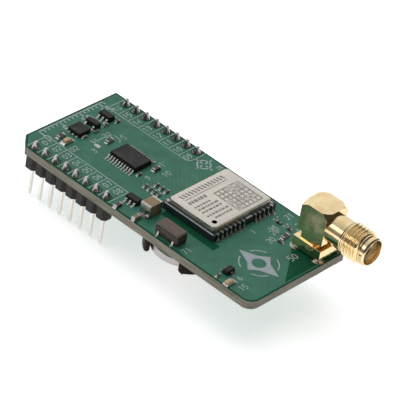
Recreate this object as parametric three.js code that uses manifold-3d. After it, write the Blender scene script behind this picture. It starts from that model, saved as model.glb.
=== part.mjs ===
// A small plug-in satellite-positioning receiver board: a green circuit board on two pin
// headers, a shielded receiver module, support circuits, a right-angle coax antenna jack,
// and a coin cell in a holder on the underside.
//
// Millimetres, +Z up. The origin is the centre of the board's underside. +X points to the
// antenna jack, +Y to the far pin row, and parts on the top side stand on z = BOARD_THICK.

import * as THREE from 'three';
import { mergeVertices } from 'three/addons/utils/BufferGeometryUtils.js';
import Module from 'manifold-3d';

const wasm = await Module();
wasm.setup();

// ---------------------------------------------------------------- driving dimensions

const BOARD_LENGTH = 57.15;
const BOARD_WIDTH = 25.4;
const BOARD_THICK = 1.6;
const BOARD_CHAMFER = 2.54; // key corner at the pin end, near side
const BOARD_CORNER_R = 2.0; // the two corners at the jack end
const TOP = BOARD_THICK;

const PIN_PITCH = 2.54;
const PIN_COUNT = 8;
const PIN_SIZE = 0.64;
const PIN_ROW_Y = 11.43; // rows at plus and minus this
const FIRST_PIN_X = -BOARD_LENGTH / 2 + 3.81;
const PIN_BELOW_STRIP = 6.0;
const PIN_ABOVE_BOARD = 1.35;
const PIN_HOLE_R = 0.5;
const PIN_POINT = { low: 0.3, lowTaper: 0.7, high: 0.4, highTaper: 0.3 };
const STRIP_HEIGHT = 2.54;
const STRIP_WIDTH = 2.5;
const STRIP_NOTCH = 0.35;
const SOLDER_R = 0.78;
// Plated holes that join the two ground planes beside the module.
const STITCH_HOLES = [[-1.6, -1.4], [1.6, -1.4], [-1.6, 1.9], [1.6, 1.9]];
const STITCH_R = 0.25;

const MODULE = { x: 6.9, y: 2.5, sx: 12.2, sy: 16.0, base: 1.4, height: 2.4, inset: 0.6 };
const MODULE_PADS = { first: 1.0, pitch: 1.1, before: 7, gap: 3.0, after: 5, r: 0.28 };
const SHIELD_WALL = 0.2;
const SHIELD_VENT = { r: 0.38, inset: 1.3 };
const SHIELD_EDGE = 0.2; // the can's rounded upper edge
const RECEIVER_CHIP = { side: 5.0, height: 0.5, dx: -1.5, dy: -2.0 };

const JACK = { x: 24.7, y: 8.4, leg: 2.54, legSize: 1.0, block: 5.7, flange: 6.3 };
const JACK_LEG_HOLE_R = 0.75;
const JACK_PIN_HOLE_R = 0.65;
const JACK_FLANGE_Z = [0.3, 2.4]; // above the board's top face
const JACK_TOP = 9.65;
const JACK_CROWN_R = 3.2; // the flat top's radius, inside a turned 45 degree chamfer
const JACK_AXIS = 6.15;
const JACK_NECK_R = 2.85;
const JACK_THREAD = { length: 3.88, minor: 2.78, major: 3.17, pitch: 0.7056 };
const JACK_LIP = 1.32; // from the last thread to the mouth
const JACK_BORE_R = 2.05;
const JACK_SOCKET_R = 2.3;
const JACK_SOCKET_DEPTH = 1.95; // from the mouth to the contact and the insulator
const JACK_NOTCH_TOP = { rear: 3.9, front: 3.35 }; // above the board's top face
const JACK_MOUTH_X = 36.2;
const JACK_LEG_BELOW = 1.5; // how far its legs stand out under the board

const CELL = { x: 7.55, y: -5.9, r: 6.25, thick: 2.0, top: -0.45 };
const HOLDER = { inner: 6.42, outer: 7.5, floor: 0.3, height: 3.0, mouthFrom: -3.2, mouthTo: 4.4 };

// ------------------------------------------------------------------------- materials

function finish(color, roughness, metalness) {
  return new THREE.MeshStandardMaterial({ color, roughness, metalness });
}

const MASK_GREEN = finish(0x2f6d52, 0.4, 0.0);
const MOULDING_BLACK = finish(0x26241f, 0.6, 0.0);
const TIN = finish(0xc9c5bc, 0.35, 1.0);
const GOLD = finish(0xd9b060, 0.22, 1.0);
const NICKEL = finish(0xcfc8bc, 0.35, 0.9);
const CERAMIC_TAN = finish(0xa8845c, 0.5, 0.0);
const CERAMIC_DARK = finish(0x3a302a, 0.5, 0.0);
const LENS_AMBER = finish(0xcdb58c, 0.3, 0.0);
const MOULDING_BROWN = finish(0x6b5a52, 0.55, 0.0);
const PTFE_WHITE = finish(0xe9e6de, 0.5, 0.0);
const CELL_STEEL = finish(0xb9b3ac, 0.3, 1.0);
const MODULE_BOARD = finish(0x1d2a22, 0.5, 0.0);

// ------------------------------------------------------------------- geometry helpers

function toSolid(geometry) {
  const bare = geometry.clone();
  bare.deleteAttribute('normal');
  bare.deleteAttribute('uv');
  const merged = mergeVertices(bare, 1e-5);
  const vertProperties = new Float32Array(merged.attributes.position.array);
  const triVerts = new Uint32Array(merged.index.array);
  return new wasm.Manifold(new wasm.Mesh({ numProp: 3, vertProperties, triVerts }));
}

function toGeometry(solid) {
  const mesh = solid.getMesh();
  const geometry = new THREE.BufferGeometry();
  geometry.setAttribute('position', new THREE.BufferAttribute(new Float32Array(mesh.vertProperties), 3));
  geometry.setIndex(new THREE.BufferAttribute(new Uint32Array(mesh.triVerts), 1));
  geometry.computeVertexNormals();
  return geometry;
}

function join(first, ...others) {
  return others.reduce((sum, other) => sum.add(toSolid(other)), toSolid(first));
}

function cut(solid, ...tools) {
  return tools.reduce((rest, tool) => rest.subtract(toSolid(tool)), solid);
}

// A block centred on x, y that stands on z.
function block(sx, sy, sz, x, y, z) {
  return new THREE.BoxGeometry(sx, sy, sz).translate(x, y, z + sz / 2);
}

// A flat outline raised from z by height.
function raised(shape, z, height, curveSegments = 6) {
  const options = { depth: height, bevelEnabled: false, curveSegments };
  return new THREE.ExtrudeGeometry(shape, options).translate(0, 0, z);
}

// A body turned about the vertical line through x, y. The profile holds [radius, z] pairs.
function turned(profile, x, y, sides = 40) {
  const points = profile.map(([r, z]) => new THREE.Vector2(r, z));
  return new THREE.LatheGeometry(points, sides).rotateX(Math.PI / 2).translate(x, y, 0);
}

// A body turned about a line along +X at y, z. The profile holds [radius, x] pairs.
function turnedAlongX(profile, y, z, sides = 40) {
  const points = profile.map(([r, along]) => new THREE.Vector2(r, along));
  return new THREE.LatheGeometry(points, sides).rotateZ(-Math.PI / 2).translate(0, y, z);
}

function rod(r, from, to) {
  return [[0, from], [r, from], [r, to], [0, to]];
}

// A box-like body whose rectangle changes with height. Each section is [sx, sy, z].
function moulded(sections, x, y) {
  const positions = [];
  const index = [];
  for (const [sx, sy, z] of sections) {
    positions.push(x - sx / 2, y - sy / 2, z, x + sx / 2, y - sy / 2, z);
    positions.push(x + sx / 2, y + sy / 2, z, x - sx / 2, y + sy / 2, z);
  }
  const last = 4 * (sections.length - 1);
  index.push(0, 2, 1, 0, 3, 2, last, last + 1, last + 2, last, last + 2, last + 3);
  for (let level = 0; level < last; level += 4) {
    for (let side = 0; side < 4; side += 1) {
      const next = (side + 1) % 4;
      index.push(level + side, level + next, level + 4 + next);
      index.push(level + side, level + 4 + next, level + 4 + side);
    }
  }
  const geometry = new THREE.BufferGeometry();
  geometry.setAttribute('position', new THREE.Float32BufferAttribute(positions, 3));
  const flatUv = new Float32Array((positions.length / 3) * 2);
  geometry.setAttribute('uv', new THREE.BufferAttribute(flatUv, 2));
  geometry.setIndex(index);
  geometry.computeVertexNormals();
  return geometry;
}

const board = new THREE.Group();

function place(name, geometry, material) {
  const mesh = new THREE.Mesh(geometry, material);
  mesh.name = name;
  board.add(mesh);
}

// ------------------------------------------------------------------------- the board

function circle(x, y, r) {
  return new THREE.Path().absarc(x, y, r, 0, 2 * Math.PI, true);
}

function pinX(number) {
  return FIRST_PIN_X + number * PIN_PITCH;
}

function jackLegs() {
  const legs = [];
  for (const dx of [-JACK.leg, JACK.leg]) {
    for (const dy of [-JACK.leg, JACK.leg]) {
      legs.push([JACK.x + dx, JACK.y + dy]);
    }
  }
  return legs;
}

function circuitBoard() {
  const hx = BOARD_LENGTH / 2;
  const hy = BOARD_WIDTH / 2;
  const r = BOARD_CORNER_R;
  const outline = new THREE.Shape();
  outline.moveTo(-hx + BOARD_CHAMFER, -hy);
  outline.lineTo(hx - r, -hy);
  outline.absarc(hx - r, -hy + r, r, -Math.PI / 2, 0, false);
  outline.lineTo(hx, hy - r);
  outline.absarc(hx - r, hy - r, r, 0, Math.PI / 2, false);
  outline.lineTo(-hx, hy);
  outline.lineTo(-hx, -hy + BOARD_CHAMFER);
  outline.closePath();
  for (let number = 0; number < PIN_COUNT; number += 1) {
    outline.holes.push(circle(pinX(number), -PIN_ROW_Y, PIN_HOLE_R));
    outline.holes.push(circle(pinX(number), PIN_ROW_Y, PIN_HOLE_R));
  }
  for (const [x, y] of jackLegs()) {
    outline.holes.push(circle(x, y, JACK_LEG_HOLE_R));
  }
  outline.holes.push(circle(JACK.x, JACK.y, JACK_PIN_HOLE_R));
  for (const [x, y] of STITCH_HOLES) {
    outline.holes.push(circle(x, y, STITCH_R));
  }
  return raised(outline, 0, BOARD_THICK, 6);
}

place('circuit_board', circuitBoard(), MASK_GREEN);

// --------------------------------------------------------------------- the pin headers

// One strip: a row of square cells with a shallow notch between neighbours.
function headerStrip(rowY) {
  const half = STRIP_WIDTH / 2;
  const outline = new THREE.Shape();
  const left = (number) => pinX(number) - PIN_PITCH / 2;
  outline.moveTo(left(0), -half + STRIP_NOTCH);
  for (let number = 0; number < PIN_COUNT; number += 1) {
    outline.lineTo(left(number) + STRIP_NOTCH, -half);
    outline.lineTo(left(number + 1) - STRIP_NOTCH, -half);
    outline.lineTo(left(number + 1), -half + STRIP_NOTCH);
  }
  for (let number = PIN_COUNT - 1; number >= 0; number -= 1) {
    if (number === PIN_COUNT - 1) {
      outline.lineTo(left(number + 1), half - STRIP_NOTCH);
    }
    outline.lineTo(left(number + 1) - STRIP_NOTCH, half);
    outline.lineTo(left(number) + STRIP_NOTCH, half);
    outline.lineTo(left(number), half - STRIP_NOTCH);
  }
  outline.closePath();
  const strip = toSolid(raised(outline, -STRIP_HEIGHT, STRIP_HEIGHT).translate(0, rowY, 0));
  const pinHoles = [];
  for (let number = 0; number < PIN_COUNT; number += 1) {
    pinHoles.push(block(PIN_SIZE, PIN_SIZE, STRIP_HEIGHT + 2, pinX(number), rowY, -STRIP_HEIGHT - 1));
  }
  return toGeometry(cut(strip, ...pinHoles));
}

// One square pin with pointed ends, and its solder joint on the board's top face.
function headerPin(x, y) {
  const tip = -STRIP_HEIGHT - PIN_BELOW_STRIP;
  const end = TOP + PIN_ABOVE_BOARD;
  const half = PIN_SIZE / 2;
  const { low, lowTaper, high, highTaper } = PIN_POINT;
  const sections = [
    [low, low, tip],
    [PIN_SIZE, PIN_SIZE, tip + lowTaper],
    [PIN_SIZE, PIN_SIZE, end - highTaper],
    [high, high, end],
  ];
  const pin = moulded(sections, x, y);
  const fillet = [[0, TOP], [SOLDER_R, TOP], [SOLDER_R - 0.1, TOP + 0.15]];
  fillet.push([half + 0.16, TOP + 0.4], [half + 0.05, TOP + 0.8], [high / 2, end - 0.02], [0, end - 0.02]);
  return toGeometry(join(pin, turned(fillet, x, y, 16)));
}

for (const [row, rowY] of [['near', -PIN_ROW_Y], ['far', PIN_ROW_Y]]) {
  place(`header_strip_${row}`, headerStrip(rowY), MOULDING_BLACK);
  for (let number = 0; number < PIN_COUNT; number += 1) {
    place(`header_pin_${row}_${number + 1}`, headerPin(pinX(number), rowY), TIN);
  }
}

// --------------------------------------------------------------- the receiver module

// Distances of the module's edge pads from its near edge.
function modulePadOffsets() {
  const { first, pitch, before, gap, after } = MODULE_PADS;
  const offsets = [];
  for (let number = 0; number < before + after; number += 1) {
    const extra = number < before ? 0 : gap - pitch;
    offsets.push(first + number * pitch + extra);
  }
  return offsets;
}

function moduleBase() {
  const { x, y, sx, sy, base } = MODULE;
  const notches = [];
  for (const side of [-1, 1]) {
    for (const offset of modulePadOffsets()) {
      const padX = x + (side * sx) / 2;
      const padY = y - sy / 2 + offset;
      notches.push(turned(rod(MODULE_PADS.r, TOP - 0.5, TOP + base + 0.5), padX, padY, 10));
    }
  }
  return toGeometry(cut(toSolid(block(sx, sy, base, x, y, TOP)), ...notches));
}

// A drawn can, open below, with a vent hole near one corner.
function moduleShield() {
  const { x, y, sx, sy, base, height, inset } = MODULE;
  const wide = sx - 2 * inset;
  const deep = sy - 2 * inset;
  const floor = TOP + base;
  const roof = TOP + height;
  const crown = [wide - 2 * SHIELD_EDGE, deep - 2 * SHIELD_EDGE, roof];
  const skin = moulded([[wide, deep, floor], [wide, deep, roof - SHIELD_EDGE], crown], x, y);
  const inside = [wide - 2 * SHIELD_WALL, deep - 2 * SHIELD_WALL, height - base];
  const hollow = block(...inside, x, y, floor - SHIELD_WALL);
  const ventX = x + wide / 2 - SHIELD_VENT.inset;
  const ventY = y - deep / 2 + SHIELD_VENT.inset;
  const vent = turned(rod(SHIELD_VENT.r, floor, roof + 1), ventX, ventY, 20);
  return toGeometry(cut(toSolid(skin), hollow, vent));
}

function receiverChip() {
  const { side, height, dx, dy } = RECEIVER_CHIP;
  return block(side, side, height, MODULE.x + dx, MODULE.y + dy, TOP + MODULE.base);
}

place('receiver_base', moduleBase(), MODULE_BOARD);
place('receiver_shield', moduleShield(), NICKEL);
place('receiver_chip', receiverChip(), MOULDING_BLACK);

// ------------------------------------------------------------- chips with formed leads

// A gull-wing lead that leaves a body at its half height and ends flat on the board.
function lead(width, bodyEdge, tip, exitZ, thick) {
  const knee = bodyEdge + (tip - bodyEdge) * 0.38;
  const heel = bodyEdge + (tip - bodyEdge) * 0.5;
  const side = new THREE.Shape();
  side.moveTo(bodyEdge - 0.2, exitZ);
  side.lineTo(knee - thick * 0.4, exitZ);
  side.lineTo(heel - thick * 0.6, 0);
  side.lineTo(tip, 0);
  side.lineTo(tip, thick);
  side.lineTo(heel + thick * 0.4, thick);
  side.lineTo(knee + thick * 0.5, exitZ + thick);
  side.lineTo(bodyEdge - 0.2, exitZ + thick);
  side.closePath();
  return raised(side, -width / 2, width).rotateX(Math.PI / 2).rotateZ(Math.PI / 2);
}

// A moulded chip at x, y. Its leads run out along local y on both long sides, at the offsets
// given for the near and the far side. quarter turns the whole chip by 90 degrees.
function leadedChip(spec) {
  const { x, y, sx, sy, height, reach, width, near, far, quarter } = spec;
  const standoff = 0.08;
  const thick = 0.13;
  const waist = height * 0.5;
  const draft = Math.min(0.12 * height, 0.14);
  const body = [
    [sx - draft, sy - draft, standoff],
    [sx, sy, waist],
    [sx - 2 * draft, sy - 2 * draft, height],
  ];
  const leads = [];
  for (const offset of far) {
    leads.push(lead(width, sy / 2, reach, waist - thick / 2, thick).translate(offset, 0, 0));
  }
  for (const offset of near) {
    const turnedLead = lead(width, sy / 2, reach, waist - thick / 2, thick).rotateZ(Math.PI);
    leads.push(turnedLead.translate(offset, 0, 0));
  }
  const chip = toGeometry(join(moulded(body, 0, 0), ...leads));
  return chip.rotateZ(quarter ? Math.PI / 2 : 0).translate(x, y, TOP);
}

function evenly(count, pitch) {
  return Array.from({ length: count }, (_, number) => (number - (count - 1) / 2) * pitch);
}

const SOT = { sx: 2.9, sy: 1.5, height: 1.05, reach: 1.4, width: 0.4 };
place('level_translator', leadedChip({
  x: -12.2, y: -0.2, sx: 6.4, sy: 4.3, height: 1.1, reach: 3.2, width: 0.25,
  near: evenly(10, 0.65), far: evenly(10, 0.65),
}), MOULDING_BLACK);
place('load_switch', leadedChip({
  ...SOT, x: -23.9, y: 5.45, near: evenly(3, 0.95), far: [-0.95, 0.95],
}), MOULDING_BLACK);
place('reset_transistor', leadedChip({
  ...SOT, x: -23.75, y: 1.85, sy: 1.3, near: [-0.95, 0.95], far: [0],
}), MOULDING_BLACK);
place('regulator', leadedChip({
  ...SOT, x: -3.35, y: -8.4, near: evenly(3, 0.95), far: [-0.95, 0.95],
}), MOULDING_BLACK);
place('pulse_transistor', leadedChip({
  x: 20.3, y: -9.4, sx: 2.0, sy: 1.25, height: 0.95, reach: 1.05, width: 0.3,
  near: [0], far: [-0.65, 0.65], quarter: true,
}), MOULDING_BLACK);
place('line_filter', leadedChip({
  x: 7.65, y: -10.5, sx: 5.3, sy: 2.5, height: 2.35, reach: 1.75, width: 0.45,
  near: [-1.75, 1.75], far: [-1.75, 1.75],
}), MOULDING_BROWN);
place('power_chip', moulded([
  [2.9, 2.9, TOP], [2.9, 2.9, TOP + 0.8], [2.8, 2.8, TOP + 0.9],
], -23.75, -1.6), MOULDING_BLACK);

// ---------------------------------------------------------------- two-ended chip parts

// Sizes are along the terminals, across them, and height.
const SIZE_0402 = [1.0, 0.5, 0.4];
const SIZE_0603 = [1.6, 0.8, 0.55];
const SIZE_0603_THICK = [1.6, 0.8, 0.8];
const SIZE_0805 = [2.0, 1.25, 0.75];
const SIZE_1210 = [3.1, 2.35, 2.5];

// The terminals point along Y, or along X when alongX is set.
function chipPart(name, [long, wide, height], x, y, material, alongX = false) {
  const size = alongX ? [long, wide] : [wide, long];
  place(name, block(size[0], size[1], height, x, y, TOP), material);
}

chipPart('power_led', SIZE_0805, -22.7, -5.65, LENS_AMBER);
chipPart('power_led_resistor', SIZE_0603, -24.45, -5.5, CERAMIC_DARK);
chipPart('supply_select_link', SIZE_0603, -18.35, 0.7, CERAMIC_DARK);
chipPart('switch_capacitor', SIZE_0402, -21.8, 6.2, CERAMIC_TAN);
chipPart('switch_resistor', SIZE_0402, -22.3, 3.65, CERAMIC_DARK);
chipPart('reset_resistor', SIZE_0402, -21.9, 0.8, CERAMIC_DARK);
chipPart('power_capacitor', SIZE_0402, -21.9, -2.1, CERAMIC_TAN);
chipPart('translator_capacitor_1', SIZE_0603, -7.55, 1.6, CERAMIC_DARK);
chipPart('translator_capacitor_2', SIZE_0402, -8.2, -2.1, CERAMIC_DARK);
chipPart('regulator_capacitor', SIZE_0603, -4.0, -11.65, CERAMIC_DARK);
chipPart('bulk_capacitor', SIZE_1210, 0.65, -8.35, CERAMIC_TAN);
chipPart('output_capacitor', SIZE_0603_THICK, 0.5, -11.75, CERAMIC_TAN);
chipPart('pulse_led', SIZE_0805, 22.45, -11.55, LENS_AMBER);
chipPart('pulse_led_resistor', SIZE_0402, 19.9, -11.6, CERAMIC_DARK);
for (let number = 0; number < 4; number += 1) {
  chipPart(`bias_resistor_${number + 1}`, SIZE_0402, -5.15 + number * 1.08, -3.6, CERAMIC_DARK);
}
for (let number = 0; number < 3; number += 1) {
  chipPart(`decoupling_capacitor_${number + 1}`, SIZE_0402, -4.15 + number * 1.2, -1.75, CERAMIC_DARK);
}
chipPart('antenna_inductor', SIZE_0402, 16.0, 8.15, CERAMIC_DARK, true);
chipPart('antenna_capacitor', SIZE_0402, 18.45, 8.25, CERAMIC_DARK, true);
chipPart('antenna_bias_resistor', SIZE_0603, 19.45, 6.0, CERAMIC_DARK);

// ------------------------------------------------------------------- the antenna jack

// A notch milled along Y: an outline in x and z with rounded inner corners.
function milledNotch(x0, x1, z0, z1, r) {
  const side = new THREE.Shape();
  side.moveTo(x0 + r, z0);
  side.lineTo(x1 - r, z0);
  side.absarc(x1 - r, z0 + r, r, -Math.PI / 2, 0, false);
  side.lineTo(x1, z1 - r);
  side.absarc(x1 - r, z1 - r, r, 0, Math.PI / 2, false);
  side.lineTo(x0 + r, z1);
  side.absarc(x0 + r, z1 - r, r, Math.PI / 2, Math.PI, false);
  side.lineTo(x0, z0 + r);
  side.absarc(x0 + r, z0 + r, r, Math.PI, 1.5 * Math.PI, false);
  const long = JACK.flange + 1;
  return raised(side, -long / 2, long, 3).rotateX(Math.PI / 2).translate(0, JACK.y, 0);
}

function threadProfile(from, to, minor, major, pitch) {
  const profile = [];
  const turns = Math.round((to - from) / pitch);
  for (let turn = 0; turn < turns; turn += 1) {
    const start = from + turn * pitch;
    profile.push([minor, start], [major, start + 0.35 * pitch], [major, start + 0.55 * pitch]);
  }
  profile.push([minor, from + turns * pitch]);
  return profile;
}

// A square block with a round chamfer on top, on a slightly wider flange.
function jackTower() {
  const { x, y, block: width, flange } = JACK;
  const [flangeLow, flangeHigh] = JACK_FLANGE_Z;
  const roof = TOP + JACK_TOP;
  const reach = width; // wider than the block's corners
  const chamfer = [[0, TOP], [reach, TOP], [reach, roof - (reach - JACK_CROWN_R)]];
  chamfer.push([JACK_CROWN_R, roof], [0, roof]);
  const tower = toSolid(block(width, width, roof - TOP - flangeLow, x, y, TOP + flangeLow));
  const base = block(flange, flange, flangeHigh - flangeLow, x, y, TOP + flangeLow);
  return tower.intersect(toSolid(turned(chamfer, x, y, 64))).add(toSolid(base));
}

// The threaded barrel: a plain neck, the thread, an undercut and a plain lip.
function jackBarrel() {
  const { length, minor, major, pitch } = JACK_THREAD;
  const mouth = JACK_MOUTH_X;
  const threadEnd = mouth - JACK_LIP;
  const neckEnd = threadEnd - length;
  const profile = [[0, JACK.x], [JACK_NECK_R, JACK.x], [JACK_NECK_R, neckEnd]];
  profile.push(...threadProfile(neckEnd, threadEnd, minor, major, pitch));
  profile.push([2.5, threadEnd + 0.02], [2.5, mouth - 1.12], [2.72, mouth - 1.0], [2.72, mouth - 0.25]);
  profile.push([2.45, mouth], [0, mouth]);
  return turnedAlongX(profile, JACK.y, TOP + JACK_AXIS, 40);
}

function jackBody() {
  const { x, y, block: width, flange, legSize } = JACK;
  const [flangeLow, flangeHigh] = JACK_FLANGE_Z;
  const axisZ = TOP + JACK_AXIS;
  const half = width / 2;
  const legTop = TOP + flangeLow + 0.3;
  let body = jackTower();
  for (const [legX, legY] of jackLegs()) {
    body = body.add(toSolid(block(legSize, legSize, legTop + JACK_LEG_BELOW, legX, legY, -JACK_LEG_BELOW)));
  }
  body = body.add(toSolid(jackBarrel()));
  const boreEnd = JACK_MOUTH_X - JACK_SOCKET_DEPTH;
  const boreStart = x - 1.2;
  const bore = [[0, boreStart], [JACK_BORE_R, boreStart], [JACK_BORE_R, boreEnd]];
  bore.push([JACK_SOCKET_R, boreEnd + 0.05], [JACK_SOCKET_R, JACK_MOUTH_X + 1], [0, JACK_MOUTH_X + 1]);
  const frontTop = TOP + JACK_NOTCH_TOP.front;
  const frontStart = x + half - 1.75;
  return toGeometry(cut(
    body,
    turnedAlongX(bore, y, axisZ, 32),
    turned(rod(1.3, TOP, axisZ), x - 0.2, y, 24),
    milledNotch(x - half - 1.5, x - half + 1.05, TOP + flangeHigh, TOP + JACK_NOTCH_TOP.rear, 0.3),
    milledNotch(frontStart, x + flange / 2 + 1, TOP + flangeHigh, frontTop, 0.3),
  ));
}

// The contact runs down through the board and forward to the socket in the mouth.
function jackContact(grow, socket) {
  const { x, y } = JACK;
  const axisZ = TOP + JACK_AXIS;
  const front = JACK_MOUTH_X - JACK_SOCKET_DEPTH;
  const down = turned(rod(0.45 + grow, -JACK_LEG_BELOW, axisZ), x, y, 16);
  const across = turnedAlongX(rod(0.64 + grow, x - 0.64 - grow, front + grow), y, axisZ, 20);
  const solid = join(down, across);
  return socket ? cut(solid, turnedAlongX(rod(0.46, front - 2.5, front + 1), y, axisZ, 16)) : solid;
}

function jackInsulator() {
  const { x, y } = JACK;
  const axisZ = TOP + JACK_AXIS;
  const face = JACK_MOUTH_X - JACK_SOCKET_DEPTH - 0.05;
  const across = turnedAlongX(rod(JACK_BORE_R - 0.05, x - 1.1, face), y, axisZ, 32);
  const down = turned(rod(1.0, TOP + 0.3, axisZ), x, y, 24);
  return toGeometry(join(across, down).subtract(jackContact(0.06, false)));
}

place('jack_body', jackBody(), GOLD);
place('jack_insulator', jackInsulator(), PTFE_WHITE);
place('jack_contact', toGeometry(jackContact(0, true)), GOLD);

// ------------------------------------------------------- the coin cell and its holder

// A round tray under the board, open downwards, with a mouth towards the near edge.
function cellHolder() {
  const { x, y } = CELL;
  const { inner, outer, floor, height, mouthFrom, mouthTo } = HOLDER;
  const rim = 0.25;
  const wall = [[0, -height], [outer - rim, -height], [outer, -height + rim], [outer, 0], [0, 0]];
  const tray = turned(wall, x, y, 48);
  const well = turned(rod(inner, -height - 1, -floor), x, y, 48);
  const mouthX = x + (mouthFrom + mouthTo) / 2;
  const mouth = block(mouthTo - mouthFrom, outer, height, mouthX, y - outer / 2, -height - floor);
  const clipSlot = block(2.4, 1.6, height + 1, x, y + outer - 0.4, -height - 0.5);
  const springSeat = block(2.2, 8.2, 1, x, y + 2, -0.6);
  const edgeY = -BOARD_WIDTH / 2 + 0.1;
  const boardEdge = block(3 * outer, outer, 2 * height, x, edgeY - outer / 2, -1.5 * height);
  return toGeometry(cut(toSolid(tray), well, mouth, clipSlot, springSeat, boardEdge));
}

// The negative contact: a strip on the tray's floor with a dome that touches the cell.
function cellSpring() {
  const { x, y } = CELL;
  const dome = [[0, -0.44], [0.3, -0.42], [0.7, -0.3], [0.7, -0.2], [0, -0.2]];
  return toGeometry(join(block(2.0, 8.0, 0.2, x, y + 2, -0.25), turned(dome, x, y, 20)));
}

// The positive contact: a leaf that stands beside the cell, with a foot on the board.
function cellClip() {
  const { x, y, r } = CELL;
  const leaf = block(2.0, 0.2, 2.5, x, y + r + 0.3, -2.5);
  const foot = block(2.0, 2.0, 0.2, x, y + r + 1.2, -0.2);
  return toGeometry(join(leaf, foot));
}

function coinCell() {
  const { x, y, r, thick, top } = CELL;
  const base = top - thick;
  const can = [[0, base], [r - 0.25, base], [r - 0.07, base + 0.07], [r, base + 0.25], [r, top - 0.55]];
  can.push([r - 0.15, top - 0.38], [r - 0.75, top - 0.3], [r - 0.8, top - 0.08], [r - 0.9, top], [0, top]);
  return turned(can, x, y, 64);
}

place('cell_holder', cellHolder(), MOULDING_BLACK);
place('cell_spring', cellSpring(), NICKEL);
place('cell_clip', cellClip(), NICKEL);
place('coin_cell', coinCell(), CELL_STEEL);

export default board;
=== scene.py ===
"""The looks of a small plug-in satellite receiver board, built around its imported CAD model.

Shapes are worked out in millimetres in the CAD frame, from the CAD nodes' boxes, and become
metres when a piece is made. The board's top face is TOP, +X points to the antenna jack and
+Y to the far pin row.
"""

import math
import random

import bpy
from mathutils import Matrix, Quaternion, Vector


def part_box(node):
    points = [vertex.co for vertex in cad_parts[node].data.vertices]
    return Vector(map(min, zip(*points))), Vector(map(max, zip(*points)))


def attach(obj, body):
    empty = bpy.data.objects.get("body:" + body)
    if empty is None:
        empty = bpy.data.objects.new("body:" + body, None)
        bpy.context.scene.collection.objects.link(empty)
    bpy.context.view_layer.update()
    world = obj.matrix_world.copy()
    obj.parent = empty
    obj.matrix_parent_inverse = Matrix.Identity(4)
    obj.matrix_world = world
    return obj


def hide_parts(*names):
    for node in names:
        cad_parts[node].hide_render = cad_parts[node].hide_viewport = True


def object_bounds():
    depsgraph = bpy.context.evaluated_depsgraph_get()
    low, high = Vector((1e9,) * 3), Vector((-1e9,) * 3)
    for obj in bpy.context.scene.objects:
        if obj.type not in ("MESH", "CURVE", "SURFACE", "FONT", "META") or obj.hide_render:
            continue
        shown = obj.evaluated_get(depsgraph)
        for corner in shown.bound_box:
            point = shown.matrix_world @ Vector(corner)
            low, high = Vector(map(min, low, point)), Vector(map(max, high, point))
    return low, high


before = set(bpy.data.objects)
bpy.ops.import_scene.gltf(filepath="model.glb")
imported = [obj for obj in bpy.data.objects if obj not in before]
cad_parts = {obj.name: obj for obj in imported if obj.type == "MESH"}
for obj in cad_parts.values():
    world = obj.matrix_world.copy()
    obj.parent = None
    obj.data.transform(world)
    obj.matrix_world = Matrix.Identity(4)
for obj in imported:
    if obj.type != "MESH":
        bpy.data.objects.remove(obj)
CAD_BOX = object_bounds()

MM = 0.001
FIXED = "board_assembly"
CELL_BODY = "cell"


def node_box(node):
    """Lowest and highest corner of a CAD node, in millimetres."""
    low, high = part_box(node)
    return low / MM, high / MM


def node_centre(node):
    low, high = node_box(node)
    return (low + high) / 2


BOARD_LOW, BOARD_HIGH = node_box("circuit_board")
TOP = BOARD_HIGH.z
COPPER = 0.035  # how far a copper layer stands up under the solder mask
INK = 0.02  # thickness of the printed marks
PAD = 0.05  # thickness of a tinned pad
PIN_NUMBERS = range(1, 9)
ROWS = ("near", "far")
PIN_COUNT = len(ROWS) * len(PIN_NUMBERS)


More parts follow.
